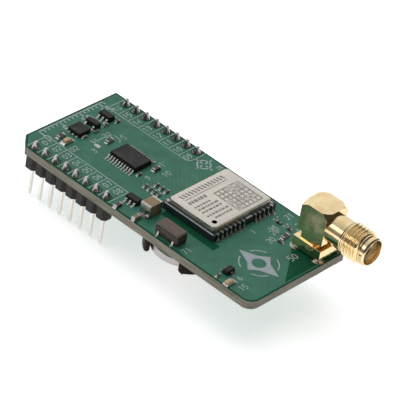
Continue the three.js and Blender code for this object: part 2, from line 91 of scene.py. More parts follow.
# ------------------------------------------------------------------ shapes, in millimetres
class Shape:
    """Closed shells gathered into one mesh. Each face has a mark, the number of its finish."""

    def __init__(self):
        self.points = []
        self.faces = []
        self.marks = []

    def add(self, points, faces, mark=0):
        base = len(self.points)
        self.points.extend(Vector(p) for p in points)
        self.faces.extend([base + i for i in face] for face in faces)
        self.marks.extend([mark] * len(faces))
        return self

    def box(self, low, high, mark=0):
        rectangle = [(low[0], low[1]), (high[0], low[1]), (high[0], high[1]), (low[0], high[1])]
        return self.prism(rectangle, low[2], high[2], mark)

    def block(self, x, y, sx, sy, z0, z1, mark=0):
        return self.box((x - sx / 2, y - sy / 2, z0), (x + sx / 2, y + sy / 2, z1), mark)

    def prism(self, outline, z0, z1, mark=0):
        """A flat outline, drawn anticlockwise, raised from z0 to z1."""
        return self.loft([[(x, y, z) for x, y in outline] for z in (z0, z1)], mark)

    def loft(self, rings, mark=0, ends=True):
        """Quads between rings of the same number of points, with an end face on the first and last."""
        count = len(rings[0])
        points = [p for ring in rings for p in ring]
        faces = []
        for level in range(len(rings) - 1):
            low, high = level * count, (level + 1) * count
            for i in range(count):
                j = (i + 1) % count
                faces.append([low + i, low + j, high + j, high + i])
        if ends:
            faces.append(list(range(count))[::-1])
            faces.append([len(points) - count + i for i in range(count)])
        return self.add(points, faces, mark)

    def loop(self, rings, mark=0):
        """Rings joined one to the next, and the last one to the first."""
        return self.loft([*rings, rings[0]], mark, ends=False)

    def lathe(self, profile, place, sides=48, mark=0):
        """A profile of (radius, along) turned about the axis of place. It starts and ends on the axis."""
        points, faces, levels = [], [], []
        for radius, along in profile:
            if radius < 1e-6:
                levels.append([len(points)])
                points.append(place(0, 0, along))
                continue
            levels.append(list(range(len(points), len(points) + sides)))
            for i in range(sides):
                turn = 2 * math.pi * i / sides
                points.append(place(radius * math.cos(turn), radius * math.sin(turn), along))
        for low, high in zip(levels, levels[1:]):
            for i in range(sides):
                j = (i + 1) % sides
                ring = [low[i % len(low)], low[j % len(low)], high[j % len(high)], high[i % len(high)]]
                faces.append(list(dict.fromkeys(ring)))
        return self.add(points, [face for face in faces if len(face) > 2], mark)

    def ribbon(self, path, width, z0, z1, mark=0, closed=False):
        """A flat stroke of one width along a path of (x, y) points, with mitred corners."""
        spots = [Vector(p) for p in path]
        count = len(spots)
        left, right = [], []
        for i, spot in enumerate(spots):
            before = spots[(i - 1) % count] if closed or i else None
            after = spots[(i + 1) % count] if closed or i < count - 1 else None
            ways = [w.normalized() for w in (before and spot - before, after and after - spot) if w]
            way = sum(ways, Vector((0, 0))).normalized()
            side = Vector((-way.y, way.x))
            reach = width / 2 / max(0.5, side.dot(Vector((-ways[0].y, ways[0].x))))
            left.append(spot + side * reach)
            right.append(spot - side * reach)
        rings = []
        for a, b in zip(left, right):
            rings.append([(b.x, b.y, z0), (b.x, b.y, z1), (a.x, a.y, z1), (a.x, a.y, z0)])
        return self.loop(rings, mark) if closed else self.loft(rings, mark)


def upright(x, y, wide=1.0, deep=1.0):
    """Places a turned profile on the vertical line through x, y, drawn out to an oval if asked."""
    return lambda across, over, along: (x + across * wide, y + over * deep, along)


def arc(x, y, radius, start, end, steps):
    """Points on an arc, angles in degrees."""
    turns = (math.radians(start + (end - start) * i / steps) for i in range(steps + 1))
    return [(x + radius * math.cos(t), y + radius * math.sin(t)) for t in turns]


def ring_of(x, y, radius, steps=32):
    return arc(x, y, radius, 0, 360, steps)[:-1]


def round_rectangle(x, y, sx, sy, radius, steps=5, between=0):
    """A rectangle with round corners. between is the number of points added along each side."""
    hx, hy = sx / 2 - radius, sy / 2 - radius
    outline = []
    for quarter, (kx, ky) in enumerate(((1, 1), (-1, 1), (-1, -1), (1, -1))):
        corner = arc(x + kx * hx, y + ky * hy, radius, 90 * quarter, 90 * quarter + 90, steps)
        if between and outline:
            outline += points_between(outline[-1], corner[0], between)
        outline += corner
    if between:
        outline += points_between(outline[-1], outline[0], between)
    return outline


def points_between(a, b, count):
    shares = [(i + 1) / (count + 1) for i in range(count)]
    return [(a[0] + (b[0] - a[0]) * t, a[1] + (b[1] - a[1]) * t) for t in shares]


def filled(loops, z0, z1):
    """A solid plate whose outline is the first loop of (x, y) points, and whose holes are the others."""
    curve = bpy.data.curves.new("plate", "CURVE")
    curve.dimensions = "2D"
    curve.fill_mode = "BOTH"
    curve.extrude = (z1 - z0) / 2
    for loop in loops:
        spline = curve.splines.new("POLY")
        spline.points.add(len(loop) - 1)
        for point, (x, y) in zip(spline.points, loop):
            point.co = (x, y, 0, 1)
        spline.use_cyclic_u = True
    drawn = bpy.data.objects.new("plate", curve)
    bpy.context.scene.collection.objects.link(drawn)
    seen = drawn.evaluated_get(bpy.context.evaluated_depsgraph_get())
    mesh = bpy.data.meshes.new_from_object(seen)
    middle = Vector((0, 0, (z0 + z1) / 2))
    shape = Shape()
    shape.add([v.co + middle for v in mesh.vertices], [list(p.vertices) for p in mesh.polygons])
    bpy.data.objects.remove(drawn)
    bpy.data.curves.remove(curve)
    bpy.data.meshes.remove(mesh)
    return shape


def mesh_object(name, shape):
    mesh = bpy.data.meshes.new(name)
    mesh.from_pydata([p * MM for p in shape.points], [], shape.faces)
    thing = bpy.data.objects.new(name, mesh)
    bpy.context.scene.collection.objects.link(thing)
    return thing


def made(name, shape, finishes, slot, body=FIXED, bevel=0, crisp=40, stands_for=()):
    """Turns a shape into a piece of the object that rides on a body. bevel is in millimetres."""
    piece = mesh_object(name, shape)
    mesh = piece.data
    mesh.polygons.foreach_set("material_index", shape.marks)
    mesh.validate()
    for finish in finishes:
        mesh.materials.append(finish)
    mesh.shade_smooth()
    if not bevel:
        mesh.set_sharp_from_angle(angle=math.radians(crisp))
    else:
        round_edges(piece, bevel)
    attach(piece, body)
    if stands_for:
        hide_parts(*stands_for)
    return piece


def round_edges(piece, width):
    bevel = piece.modifiers.new("round_edges", "BEVEL")
    bevel.width = width * MM
    bevel.segments = 2
    bevel.limit_method = "ANGLE"
    bevel.angle_limit = math.radians(30)
    bevel.harden_normals = True


# ------------------------------------------------------------------------------- finishes
class Finish:
    """A procedural material on one Principled shader, mapped in the CAD frame in millimetres."""

    def __init__(self, name, color, roughness, metallic=0.0, coat=0.0, gloss=0.5):
        self.material = bpy.data.materials.new(name)
        self.material.use_nodes = True
        self.tree = self.material.node_tree
        self.shader = self.tree.nodes["Principled BSDF"]
        self.shader.inputs["Base Color"].default_value = (*color, 1)
        self.shader.inputs["Roughness"].default_value = roughness
        self.shader.inputs["Metallic"].default_value = metallic
        self.shader.inputs["Coat Weight"].default_value = coat
        self.shader.inputs["Specular IOR Level"].default_value = gloss
        self.material.diffuse_color = (*color, 1)
        self.place = self.node("ShaderNodeTexCoord").outputs["Object"]

    def node(self, kind, **values):
        made_node = self.tree.nodes.new(kind)
        for key, value in values.items():
            setattr(made_node, key, value)
        return made_node

    def link(self, source, target):
        self.tree.links.new(source, target)
        return self

    def noise(self, size, stretch=(1, 1, 1), detail=3.0):
        """Soft noise whose features are about size millimetres wide, drawn out by stretch."""
        mapping = self.node("ShaderNodeMapping")
        mapping.inputs["Scale"].default_value = [1 / (MM * size * s) for s in stretch]
        self.link(self.place, mapping.inputs["Vector"])
        noise = self.node("ShaderNodeTexNoise")
        noise.inputs["Scale"].default_value = 1.0
        noise.inputs["Detail"].default_value = detail
        self.link(mapping.outputs["Vector"], noise.inputs["Vector"])
        return noise.outputs["Fac"]

    def ramp(self, factor, stops):
        """Colours along a factor. stops holds (place, colour) pairs."""
        ramp = self.node("ShaderNodeValToRGB")
        elements = ramp.color_ramp.elements
        while len(elements) < len(stops):
            elements.new(0.5)
        for element, (place, color) in zip(elements, stops):
            element.position = place
            element.color = (*color, 1)
        self.link(factor, ramp.inputs["Fac"])
        return ramp.outputs["Color"]

    def paint(self, factor, stops):
        return self.link(self.ramp(factor, stops), self.shader.inputs["Base Color"])

    def rough(self, factor, low, high):
        reach = self.node("ShaderNodeMapRange")
        reach.inputs["From Min"].default_value = 0.3
        reach.inputs["From Max"].default_value = 0.7
        reach.inputs["To Min"].default_value = low
        reach.inputs["To Max"].default_value = high
        self.link(factor, reach.inputs["Value"])
        return self.link(reach.outputs["Result"], self.shader.inputs["Roughness"])

    def bump(self, factor, depth, strength=1.0):
        """Relief depth millimetres deep. A second call adds to the first."""
        bump = self.node("ShaderNodeBump")
        bump.inputs["Distance"].default_value = depth * MM
        bump.inputs["Strength"].default_value = strength
        self.link(factor, bump.inputs["Height"])
        normal = self.shader.inputs["Normal"]
        if normal.is_linked:
            self.link(normal.links[0].from_socket, bump.inputs["Normal"])
        return self.link(bump.outputs["Normal"], normal)


def shades(color, spread):
    """A darker and a lighter neighbour of a colour, as the two stops of a ramp."""
    dark = [max(0.0, c * (1 - spread)) for c in color]
    light = [min(1.0, c * (1 + spread)) for c in color]
    return [(0.3, dark), (0.7, light)]


def solder_mask(name, color, gloss=0.2):
    finish = Finish(name, color, 0.38, gloss=gloss)
    finish.paint(finish.noise(2.2, detail=5), shades(color, 0.13))
    finish.rough(finish.noise(0.9), 0.3, 0.44)
    finish.bump(finish.noise(0.35), 0.004)
    finish.bump(finish.noise(0.12, (3, 1, 1)), 0.0015)
    return finish.material


def laminate_board():
    """Solder mask on the flat faces, and the cut glass laminate with its layers on the edges."""
    finish = Finish("board_laminate", MASK_BARE, 0.4, gloss=0.06)
    mask = finish.ramp(finish.noise(2.2, detail=5), shades(MASK_BARE, 0.13))
    layers = finish.noise(0.16, (30, 30, 1), detail=4)
    tone = [(0.3, (0.12, 0.12, 0.085)), (0.48, (0.23, 0.22, 0.175)), (0.62, (0.3, 0.285, 0.24))]
    tone.append((0.78, (0.19, 0.19, 0.14)))
    edge = finish.ramp(layers, tone)
    facing = finish.node("ShaderNodeSeparateXYZ")
    finish.link(finish.node("ShaderNodeTexCoord").outputs["Normal"], facing.inputs["Vector"])
    flat = finish.node("ShaderNodeMath", operation="ABSOLUTE")
    finish.link(facing.outputs["Z"], flat.inputs[0])
    mix = finish.node("ShaderNodeMix", data_type="RGBA")
    finish.link(flat.outputs["Value"], mix.inputs["Factor"])
    finish.link(edge, mix.inputs[6])
    finish.link(mask, mix.inputs[7])
    finish.link(mix.outputs[2], finish.shader.inputs["Base Color"])
    finish.rough(finish.noise(0.3), 0.38, 0.6)
    finish.bump(finish.noise(0.1, (6, 6, 1)), 0.012, 0.6)
    return finish.material


def moulding(name, color, roughness=0.55, grain=0.07, gloss=0.3):
    """Filled moulding compound: fine speckle and a matt, slightly uneven skin."""
    finish = Finish(name, color, roughness, gloss=gloss)
    finish.paint(finish.noise(grain * 2, detail=6), shades(color, 0.35))
    finish.rough(finish.noise(0.6), roughness - 0.08, roughness + 0.08)
    finish.bump(finish.noise(grain), 0.006)
    finish.bump(finish.noise(1.5), 0.004, 0.5)
    return finish.material


def bare_metal(name, color, roughness, stretch=(1, 1, 1), grain=0.3, relief=0.003, spread=0.08):
    """Bare metal with drawn or rolled grain along the longest stretch, and dull patches."""
    finish = Finish(name, color, roughness, metallic=1.0)
    finish.paint(finish.noise(grain * 4, stretch, detail=4), shades(color, spread))
    finish.rough(finish.noise(grain * 2, stretch), roughness * 0.75, roughness * 1.35)
    finish.bump(finish.noise(grain, stretch), relief)
    return finish.material


def ceramic(name, color, roughness=0.5, spread=0.18):
    finish = Finish(name, color, roughness)
    finish.paint(finish.noise(0.25, detail=6), shades(color, spread))
    finish.rough(finish.noise(0.2), roughness - 0.1, roughness + 0.1)
    finish.bump(finish.noise(0.08), 0.006)
    return finish.material


def gold_plate(name, stretch, relief):
    """Gold over nickel on turned brass: tool lines across the axis and faint stains."""
    color = (0.9, 0.71, 0.41)
    finish = Finish(name, color, 0.14, metallic=1.0)
    stops = [(0.25, (0.82, 0.6, 0.3)), (0.5, color), (0.75, (0.94, 0.78, 0.5))]
    finish.paint(finish.noise(1.8, detail=5), stops)
    finish.rough(finish.noise(0.7), 0.1, 0.22)
    finish.bump(finish.noise(0.09, stretch), relief)
    return finish.material


def printed_ink(name, color):
    finish = Finish(name, color, 0.6)
    finish.paint(finish.noise(0.3, detail=6), shades(color, 0.16))
    finish.bump(finish.noise(0.1), 0.006)
    finish.rough(finish.noise(0.5), 0.5, 0.7)
    return finish.material


def lens(name, color):
    finish = Finish(name, color, 0.25, coat=0.4)
    finish.paint(finish.noise(0.5), shades(color, 0.22))
    finish.shader.inputs["Subsurface Weight"].default_value = 0.3
    finish.shader.inputs["Subsurface Radius"].default_value = (0.0006, 0.0004, 0.0002)
    finish.bump(finish.noise(0.3), 0.004)
    return finish.material


MASK_POUR = (0.043, 0.175, 0.115)
MASK_BARE = (0.007, 0.08, 0.038)

mask_pour = solder_mask("solder_mask_over_copper", MASK_POUR)
mask_track = solder_mask("solder_mask_over_tracks", (0.065, 0.205, 0.145))
laminate = laminate_board()
header_black = moulding("header_moulding", (0.016, 0.015, 0.013), 0.5, 0.1)
chip_black = moulding("chip_moulding", (0.016, 0.0145, 0.0135), 0.5, 0.06)
holder_black = moulding("holder_moulding", (0.008, 0.0055, 0.0035), 0.42, 0.1, 0.12)
filter_brown = moulding("filter_moulding", (0.13, 0.098, 0.084), 0.5, 0.08)
# A darker copy of the filter's moulding for the body's sides: painted shade.
filter_shaded_side = moulding("filter_shaded_body", (0.06, 0.043, 0.036), 0.5, 0.08)
module_laminate = moulding("module_laminate", (0.03, 0.045, 0.052), 0.45, 0.08)
module_edge = ceramic("module_plated_edge", (0.5, 0.51, 0.52), 0.4, 0.05)
tin = bare_metal("tinned_pin", (0.81, 0.775, 0.725), 0.28, (1, 1, 8))
lead_tin = bare_metal("tinned_lead", (0.5, 0.48, 0.455), 0.27)
solder = bare_metal("solder", (0.4, 0.375, 0.375), 0.16, relief=0.008, spread=0.14)
bare_pad = bare_metal("tinned_pad", (0.5, 0.48, 0.45), 0.32, relief=0.004)
shield_metal = bare_metal("shield_nickel", (0.66, 0.62, 0.555), 0.3, (1, 14, 1), 0.12, 0.0012, 0.05)
marking = printed_ink("shield_marking", (0.25, 0.24, 0.212))
gold_block = gold_plate("gold_milled", (1, 12, 1), 0.0008)
gold_turned = gold_plate("gold_turned", (1, 40, 40), 0.0012)
ptfe = ceramic("insulator_white", (0.72, 0.7, 0.65), 0.45, 0.05)
spring_metal = bare_metal("spring_nickel", (0.6, 0.56, 0.5), 0.3, (1, 6, 1))
cell_metal = bare_metal("cell_steel", (0.44, 0.405, 0.395), 0.34, (6, 6, 1), 0.15)
# Near black for the cell's gasket, which also stands for the shadow in the gap under the board's edge:
# partly painted shadow.
gasket_and_gap_shadow = moulding("cell_gasket_and_gap_shadow", (0.03, 0.03, 0.033), 0.45, 0.1)
capacitor_tan = ceramic("ceramic_tan", (0.28, 0.185, 0.11))
capacitor_brown = ceramic("ceramic_brown", (0.09, 0.055, 0.035))
resistor_white = ceramic("alumina_white", (0.42, 0.39, 0.37), 0.5, 0.1)
resistor_black = ceramic("resistor_film", (0.03, 0.025, 0.025), 0.35)
amber = lens("lens_amber", (0.5, 0.38, 0.22))
led_case = ceramic("led_case", (0.4, 0.38, 0.33), 0.5, 0.12)
ink = printed_ink("board_ink", (0.37, 0.47, 0.44))
# A dimmer copy of the board's ink for the filled compass star: painted shade.
ink_painted_shade = printed_ink("board_ink_painted_shade", (0.36, 0.42, 0.44))
hole_dark = moulding("shadowed_hole", (0.004, 0.004, 0.004), 0.7, 0.1)


def refinish(node, finish):
    """Gives a CAD node that stays in view its procedural finish."""
    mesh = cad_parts[node].data
    mesh.materials.clear()
    mesh.materials.append(finish)


# ------------------------------------------------------------------ the board and its copper
COPPER_MARGIN = 0.35
PIN_PAD = 0.8
PIN_CLEAR = 1.05
CORNER = {"chamfer": 2.54, "radius": 2.0}  # the board outline's, as the CAD model has them

pins = {}
for row in ROWS:
    for number in PIN_NUMBERS:
        pins[row, number] = node_centre(f"header_pin_{row}_{number}")
PITCH = pins["near", 2].x - pins["near", 1].x
JACK_AT = node_centre("jack_insulator")
JACK_LEG = 2.54
CONTACT_R = 0.64
CONTACT_AT = Vector((node_box("jack_contact")[0].x + CONTACT_R, JACK_AT.y))  # the contact's upright part
LEGS = []
for leg_dx in (-JACK_LEG, JACK_LEG):
    for leg_dy in (-JACK_LEG, JACK_LEG):
        LEGS.append((CONTACT_AT.x + leg_dx, CONTACT_AT.y + leg_dy))
MODULE_LOW, MODULE_HIGH = node_box("receiver_base")


def board_outline(inset):
    low, high = BOARD_LOW, BOARD_HIGH
    cut = CORNER["chamfer"] - 0.41 * inset
    radius = CORNER["radius"] - inset
    x0, x1, y0, y1 = low.x + inset, high.x - inset, low.y + inset, high.y - inset
    outline = [(x0, y0 + cut), (x0 + cut, y0)]
    outline += arc(x1 - radius, y0 + radius, radius, -90, 0, 6)
    outline += arc(x1 - radius, y1 - radius, radius, 0, 90, 6)
    outline.append((x0, y1))
    return outline


# Tracks that fan out from the translator's far leads to the module's edge pads.
FAN_STEP = 0.4
FAN_TURN_STEP = 0.62
FAN_TURN_X = -6.6
FAN_START = 1.1  # from the translator's far side to the first track
FAN_PADS = (2, 3, 4, 5, 6)
LEAD_PITCH = 0.65
TRACK = 0.18
translator_high = node_box("level_translator")[1]

# The module's edge pads: one pitch all along, with one longer gap after the first seven.
MODULE_PADS = {"count": 12, "first": 1.0, "pitch": 1.1, "before_gap": 7, "gap": 1.9}
module_pad_y = []
for pad_number in range(MODULE_PADS["count"]):
    pad_y = MODULE_LOW.y + MODULE_PADS["first"] + MODULE_PADS["pitch"] * pad_number
    module_pad_y.append(pad_y + (MODULE_PADS["gap"] if pad_number >= MODULE_PADS["before_gap"] else 0))


def fan_track(order):
    lead_x = translator_high.x - 0.35 - LEAD_PITCH * (order + 1)
    run_y = translator_high.y + FAN_START + FAN_STEP * order
    end_y = module_pad_y[FAN_PADS[order]]
    turn_x = FAN_TURN_X + FAN_TURN_STEP * order
    path = [(lead_x, translator_high.y - 0.1), (lead_x, run_y - 0.4), (lead_x + 0.4, run_y)]
    path += [(turn_x, run_y), (turn_x + run_y - end_y, end_y), (MODULE_LOW.x + 0.2, end_y)]
    return path


fan = [fan_track(order) for order in range(len(FAN_PADS))]

# A second bundle runs straight along the board on the translator's far side.
RUN_COUNT = 4
RUN_END_X = -3.4
RUN_TURN = 1.6
run_y0 = translator_high.y + FAN_START + FAN_STEP * len(fan) + 0.6
runs = []
for order in range(RUN_COUNT):
    y = run_y0 + FAN_STEP * order
    start = pins["far", 2].x + PITCH * order * 0.5
    end = RUN_END_X + FAN_TURN_STEP * order
    turn = (end + RUN_TURN, y - RUN_TURN)
    runs.append([(start, y), (end, y), turn, (turn[0], turn[1] - 1.0 - FAN_STEP * order)])

# The solder mask is darker where the copper pour is left out, by the module and by the jack. The band by
# the module's near side is partly painted shadow of the module as well.
near_clearing_and_shadow = [(1.9, -7.1), (MODULE_HIGH.x + 1.6, -7.1), (MODULE_HIGH.x + 1.6, -5.3), (1.9, -5.3)]
jack_clearing = [(21.4, 5.7), (24.5, 1.6), (27.5, -2.8), (28.0, -3.4), (28.0, 11.6), (21.4, 11.6)]


def copper_layer(name, z0, z1, clearings):
    loops = [board_outline(COPPER_MARGIN)]
    for pin in pins.values():
        loops.append(ring_of(pin.x, pin.y, PIN_CLEAR, 20))
    loops += clearings
    return made(name, filled(loops, z0, z1), [mask_pour], "board_green")


def tracks(name, paths, width, z0, z1, finish):
    shape = Shape()
    for path in paths:
        shape.ribbon(path, width, z0, z1)
    return made(name, shape, [finish], "board_green")


VIAS = [(-17.7, 4.0), (-19.3, 5.6), (-16.1, 6.4), (-14.2, 5.3), (-9.0, -5.2), (-12.6, -5.6), (-15.2, -4.9),
        (-19.8, -4.2), (-6.9, 6.3), (-1.6, 8.9), (3.2, -7.6), (-1.0, -6.1), (13.9, -8.9), (15.6, -10.6),
        (17.3, -6.9), (18.9, 2.4), (16.6, 3.7), (15.1, 1.2), (20.6, 4.2), (25.9, -6.8), (26.4, -9.9),
        (23.8, -7.3), (14.6, 10.9), (17.6, 11.0), (19.6, 10.5), (15.2, 6.8), (17.0, 6.6),
        (-24.9, 9.6), (-1.6, 1.9), (-1.6, -1.4)]


VIA_R = 0.3
VIA_HOLE_R = 0.14


def vias(name, spots, z0, z1):
    """Mask-covered rings with a dark dimple where the drill went through."""
    shape = Shape()
    for x, y in spots:
        outer, inner = ring_of(x, y, VIA_R, 16), ring_of(x, y, VIA_HOLE_R, 16)
        low, high = [(*p, z0) for p in outer], [(*p, z1) for p in outer]
        shape.loop([low, high, [(*p, z1) for p in inner], [(*p, z0) for p in inner]], 0)
        shape.prism(ring_of(x, y, VIA_HOLE_R + 0.01, 12), min(z0, z1), (z0 + z1) / 2, 1)
    return made(name, shape, [mask_track, hole_dark], "board_green")


refinish("circuit_board", laminate)
# The near clearing also stands for the module's shadow: partly painted shadow.
copper_layer("copper_pour_top", TOP, TOP + COPPER, [near_clearing_and_shadow, jack_clearing])
tracks("tracks_top", [*fan, *runs], TRACK, TOP, TOP + COPPER * 1.6, mask_track)
vias("vias_top", VIAS, TOP, TOP + COPPER * 1.7)
copper_layer("copper_pour_underside", -COPPER, 0, [])
UNDER_RUNS = {"count": 6, "first_y": -4.2, "step": 0.5, "start_y": -9.9, "end_x": -2.6, "end_step": 0.2}
under_runs = []
for order in range(UNDER_RUNS["count"]):
    x = pins["near", 2 + order].x
    y = UNDER_RUNS["first_y"] + UNDER_RUNS["step"] * order
    end = (UNDER_RUNS["end_x"] + UNDER_RUNS["end_step"] * order, y)
    under_runs.append([(x, UNDER_RUNS["start_y"]), (x, y - 1.0), (x + 1.0, y), end])
tracks("tracks_underside", under_runs, 0.2, -COPPER * 1.6, 0, mask_track)
UNDER_VIAS = [(x, y) for x, y in VIAS if not (-1 < x < 16 and y < 2)]
vias("vias_underside", UNDER_VIAS, 0, -COPPER * 1.7)


# ----------------------------------------------------------------------- the printed marks
INK_Z = TOP + COPPER
LINE = 0.17
NEAR_COMB_Y = 4.1  # from the pin row to the comb's long line
FAR_COMB_Y = 3.4
COMB_CORNER = 1.0
LABEL = 1.25  # height of the smaller numbers
RULER = {"x": BOARD_LOW.x + 0.7, "first": -7.6, "count": 17, "line": 0.26, "short": 0.8, "long": 1.3}
COMPASS = {"x": 21.7, "y": -3.2, "long": 4.7, "short": 2.9, "inner": 2.0, "disc": 1.3, "ring": 3.5}
TARGET = {"x": -3.6, "y": 9.8, "ring": 1.25, "from": 0.4, "to": 2.1, "line": 0.3}

# Strokes of the digits on a grid 2 wide and 4 high.
DIGITS = {
    "0": [[(0, 1), (0, 3), (1, 4), (2, 3), (2, 1), (1, 0), (0, 1)]],
    "1": [[(0.3, 3.2), (1.2, 4), (1.2, 0)]],
    "2": [[(0, 3.2), (1, 4), (2, 3.2), (2, 2.4), (0, 0), (2, 0)]],
    "3": [[(0, 3.6), (1, 4), (2, 3.2), (1, 2.1), (2, 1), (1, 0), (0, 0.5)]],
    "4": [[(1.5, 0), (1.5, 4), (0, 1.3), (2.1, 1.3)]],
    "5": [[(2, 4), (0.2, 4), (0, 2.2), (1.3, 2.4), (2, 1.2), (1.2, 0), (0, 0.3)]],
    "6": [[(1.8, 3.8), (0.5, 3.2), (0, 1.4), (0.8, 0), (2, 1), (1.4, 2.2), (0.1, 1.6)]],
    "7": [[(0, 4), (2, 4), (0.8, 0)]],
    "8": [[(1, 2.1), (0.1, 3), (1, 4), (1.9, 3), (1, 2.1), (0, 1), (1, 0), (2, 1), (1, 2.1)]],
    "9": [[(0.2, 0.2), (1.5, 0.8), (2, 2.6), (1.2, 4), (0, 3), (0.6, 1.9), (1.9, 2.4)]],
}


def draw(shape, path, width, closed=False):
    shape.ribbon(path, width, INK_Z, INK_Z + INK, closed=closed)


def write_number(shape, text, x, y, height, width=0.13):
    """A number centred on x, y, that reads upwards along +Y."""
    unit = height / 4
    long = (len(text) * 3 - 1) * unit
    heading = Matrix.Rotation(math.radians(90), 2)
    for place, digit in enumerate(text):
        for stroke in DIGITS[digit]:
            flat = [Vector(((3 * place + px) * unit - long / 2, (py - 2) * unit)) for px, py in stroke]
            spots = [heading @ p + Vector((x, y)) for p in flat]
            draw(shape, [tuple(p) for p in spots], width)


def comb(shape, row):
    """The frame that gives each pin its own box, open towards the board's edge."""
    near = row == "near"
    side = 1 if near else -1
    edge = (BOARD_LOW.y if near else BOARD_HIGH.y) + side * 0.4
    inner = pins[row, 1].y + side * (NEAR_COMB_Y if near else FAR_COMB_Y)
    left, right = pins[row, 1].x - PITCH / 2, pins[row, 8].x + PITCH / 2
    cut = COMB_CORNER
    if near:
        turns = [(left, inner - side * cut), (left + cut * 0.3, inner - side * cut * 0.3)]
        turns += [(left + cut, inner), (right, inner)]
    else:
        turns = [(left, inner), (right - cut, inner), (right - cut * 0.3, inner - side * cut * 0.3)]
        turns.append((right, inner - side * cut))
    path = [(left, edge), *turns, (right, edge)]
    draw(shape, path, LINE)
    for number in PIN_NUMBERS[:-1]:
        x = pins[row, number].x + PITCH / 2
        draw(shape, [(x, edge), (x, inner)], LINE * 0.9)
    for number in PIN_NUMBERS:
        text = f"{number if near else PIN_COUNT + 1 - number:02d}"
        text_y = inner - side * (1.3 if near else 1.15)
        write_number(shape, text, pins[row, number].x, text_y, LABEL, LINE)


def ruler(shape):
    """A millimetre scale along the pin end, numbered every five."""
    base, first, count, line = (RULER[key] for key in ("x", "first", "count", "line"))
    for mark in range(count):
        y = first + mark
        long = RULER["long"] if mark % 5 == 0 else RULER["short"]
        draw(shape, [(base, y), (base + long, y)], line)
        if mark % 5 == 0:
            write_number(shape, str(mark), base + 2.3, y, 1.7, 0.27)
    draw(shape, [(base, first - line / 2), (base, first + count - 1 + line / 2)], line)


def compass_mark():
    """A generic direction mark: a four-pointed star round a disc, in a thin broken ring."""
    x, y = COMPASS["x"], COMPASS["y"]
    points = []
    for step in range(8):
        turn = math.radians(45 * step)
        reach = COMPASS["long" if step % 4 == 0 else "short" if step % 2 == 0 else "inner"]
        points.append((x + reach * math.cos(turn), y + reach * math.sin(turn)))
    star = filled([points, ring_of(x, y, COMPASS["disc"], 40)], INK_Z, INK_Z + INK)
    # The star is drawn in the dimmer ink copy: painted shade.
    made("compass_star", star, [ink_painted_shade], "board_green")
    ring = Shape()
    for start in (20, 110, 200, 290):
        draw(ring, arc(x, y, COMPASS["ring"], start, start + 50, 14), 0.22)
    made("compass_ring", ring, [ink], "board_green")


def target_mark(shape):
    """A plain ringed cross beside the far pin row."""
    centre = Vector((TARGET["x"], TARGET["y"]))
    draw(shape, ring_of(*centre, TARGET["ring"], 28), TARGET["line"], closed=True)
    for turn in range(0, 360, 90):
        way = Vector((math.cos(math.radians(turn)), math.sin(math.radians(turn))))
        ends = [tuple(centre + way * TARGET[end]) for end in ("from", "to")]
        draw(shape, ends, TARGET["line"])


# Part numbers beside the parts: the node, the offset from its centre, and the number.
PART_NUMBERS = (
    ("translator_capacitor_1", (-0.4, 2.4), "11"), ("translator_capacitor_1", (2.0, 0.6), "10"),
    ("translator_capacitor_2", (1.5, 0.7), "9"), ("power_led", (2.2, -0.4), "02"),
    ("power_capacitor", (2.0, 0.6), "31"), ("reset_resistor", (1.9, 1.0), "32"),
    ("line_filter", (4.3, -0.5), "71"), ("pulse_led", (2.2, 1.2), "15"),
    ("pulse_transistor", (2.2, 0.4), "6"), ("antenna_inductor", (-0.2, 2.9), "21"),
    ("antenna_capacitor", (0.1, 2.6), "24"), ("antenna_inductor", (0.6, -2.1), "25"),
    ("antenna_bias_resistor", (-0.9, -2.7), "20"), ("antenna_bias_resistor", (-2.2, -0.4), "26"),
    ("supply_select_link", (0.5, 3.1), "5"), ("supply_select_link", (0.4, -4.2), "3"),
)


def printed_marks():
    shape = Shape()
    for row in ROWS:
        comb(shape, row)
    ruler(shape)
    target_mark(shape)
    for node, (dx, dy), text in PART_NUMBERS:
        at = node_centre(node)
        write_number(shape, text, at.x + dx, at.y + dy, LABEL, 0.16)
    write_number(shape, "28", -1.3, 11.4, 0.9)
    write_number(shape, "3", MODULE_HIGH.x + 2.0, MODULE_LOW.y + 8.0, 1.0)
    write_number(shape, "50", CONTACT_AT.x - 0.6, CONTACT_AT.y - 5.6, 1.4, 0.18)
    link = node_centre("supply_select_link")
    frame_path = [(-1.5, -2.4), (-1.5, 1.5), (-0.6, 2.1), (0.6, 2.1), (1.2, 1.4)]
    draw(shape, [(link.x + px, link.y + py) for px, py in frame_path], LINE)
    made("printed_marks", shape, [ink], "board_green")
    compass_mark()


printed_marks()


# ------------------------------------------------------------------------- the pin headers
PIN_HALF = 0.32


def squircle(x, y, half, roundness, z, steps=24):
    """A ring between a square (roundness 0) and a circle (roundness 1)."""
    ring = []
    for i in range(steps):
        turn = 2 * math.pi * (i + 0.5) / steps
        c, s = math.cos(turn), math.sin(turn)
        reach = half * (roundness + (1 - roundness) / max(abs(c), abs(s)))
        ring.append((x + reach * c, y + reach * s, z))
    return ring


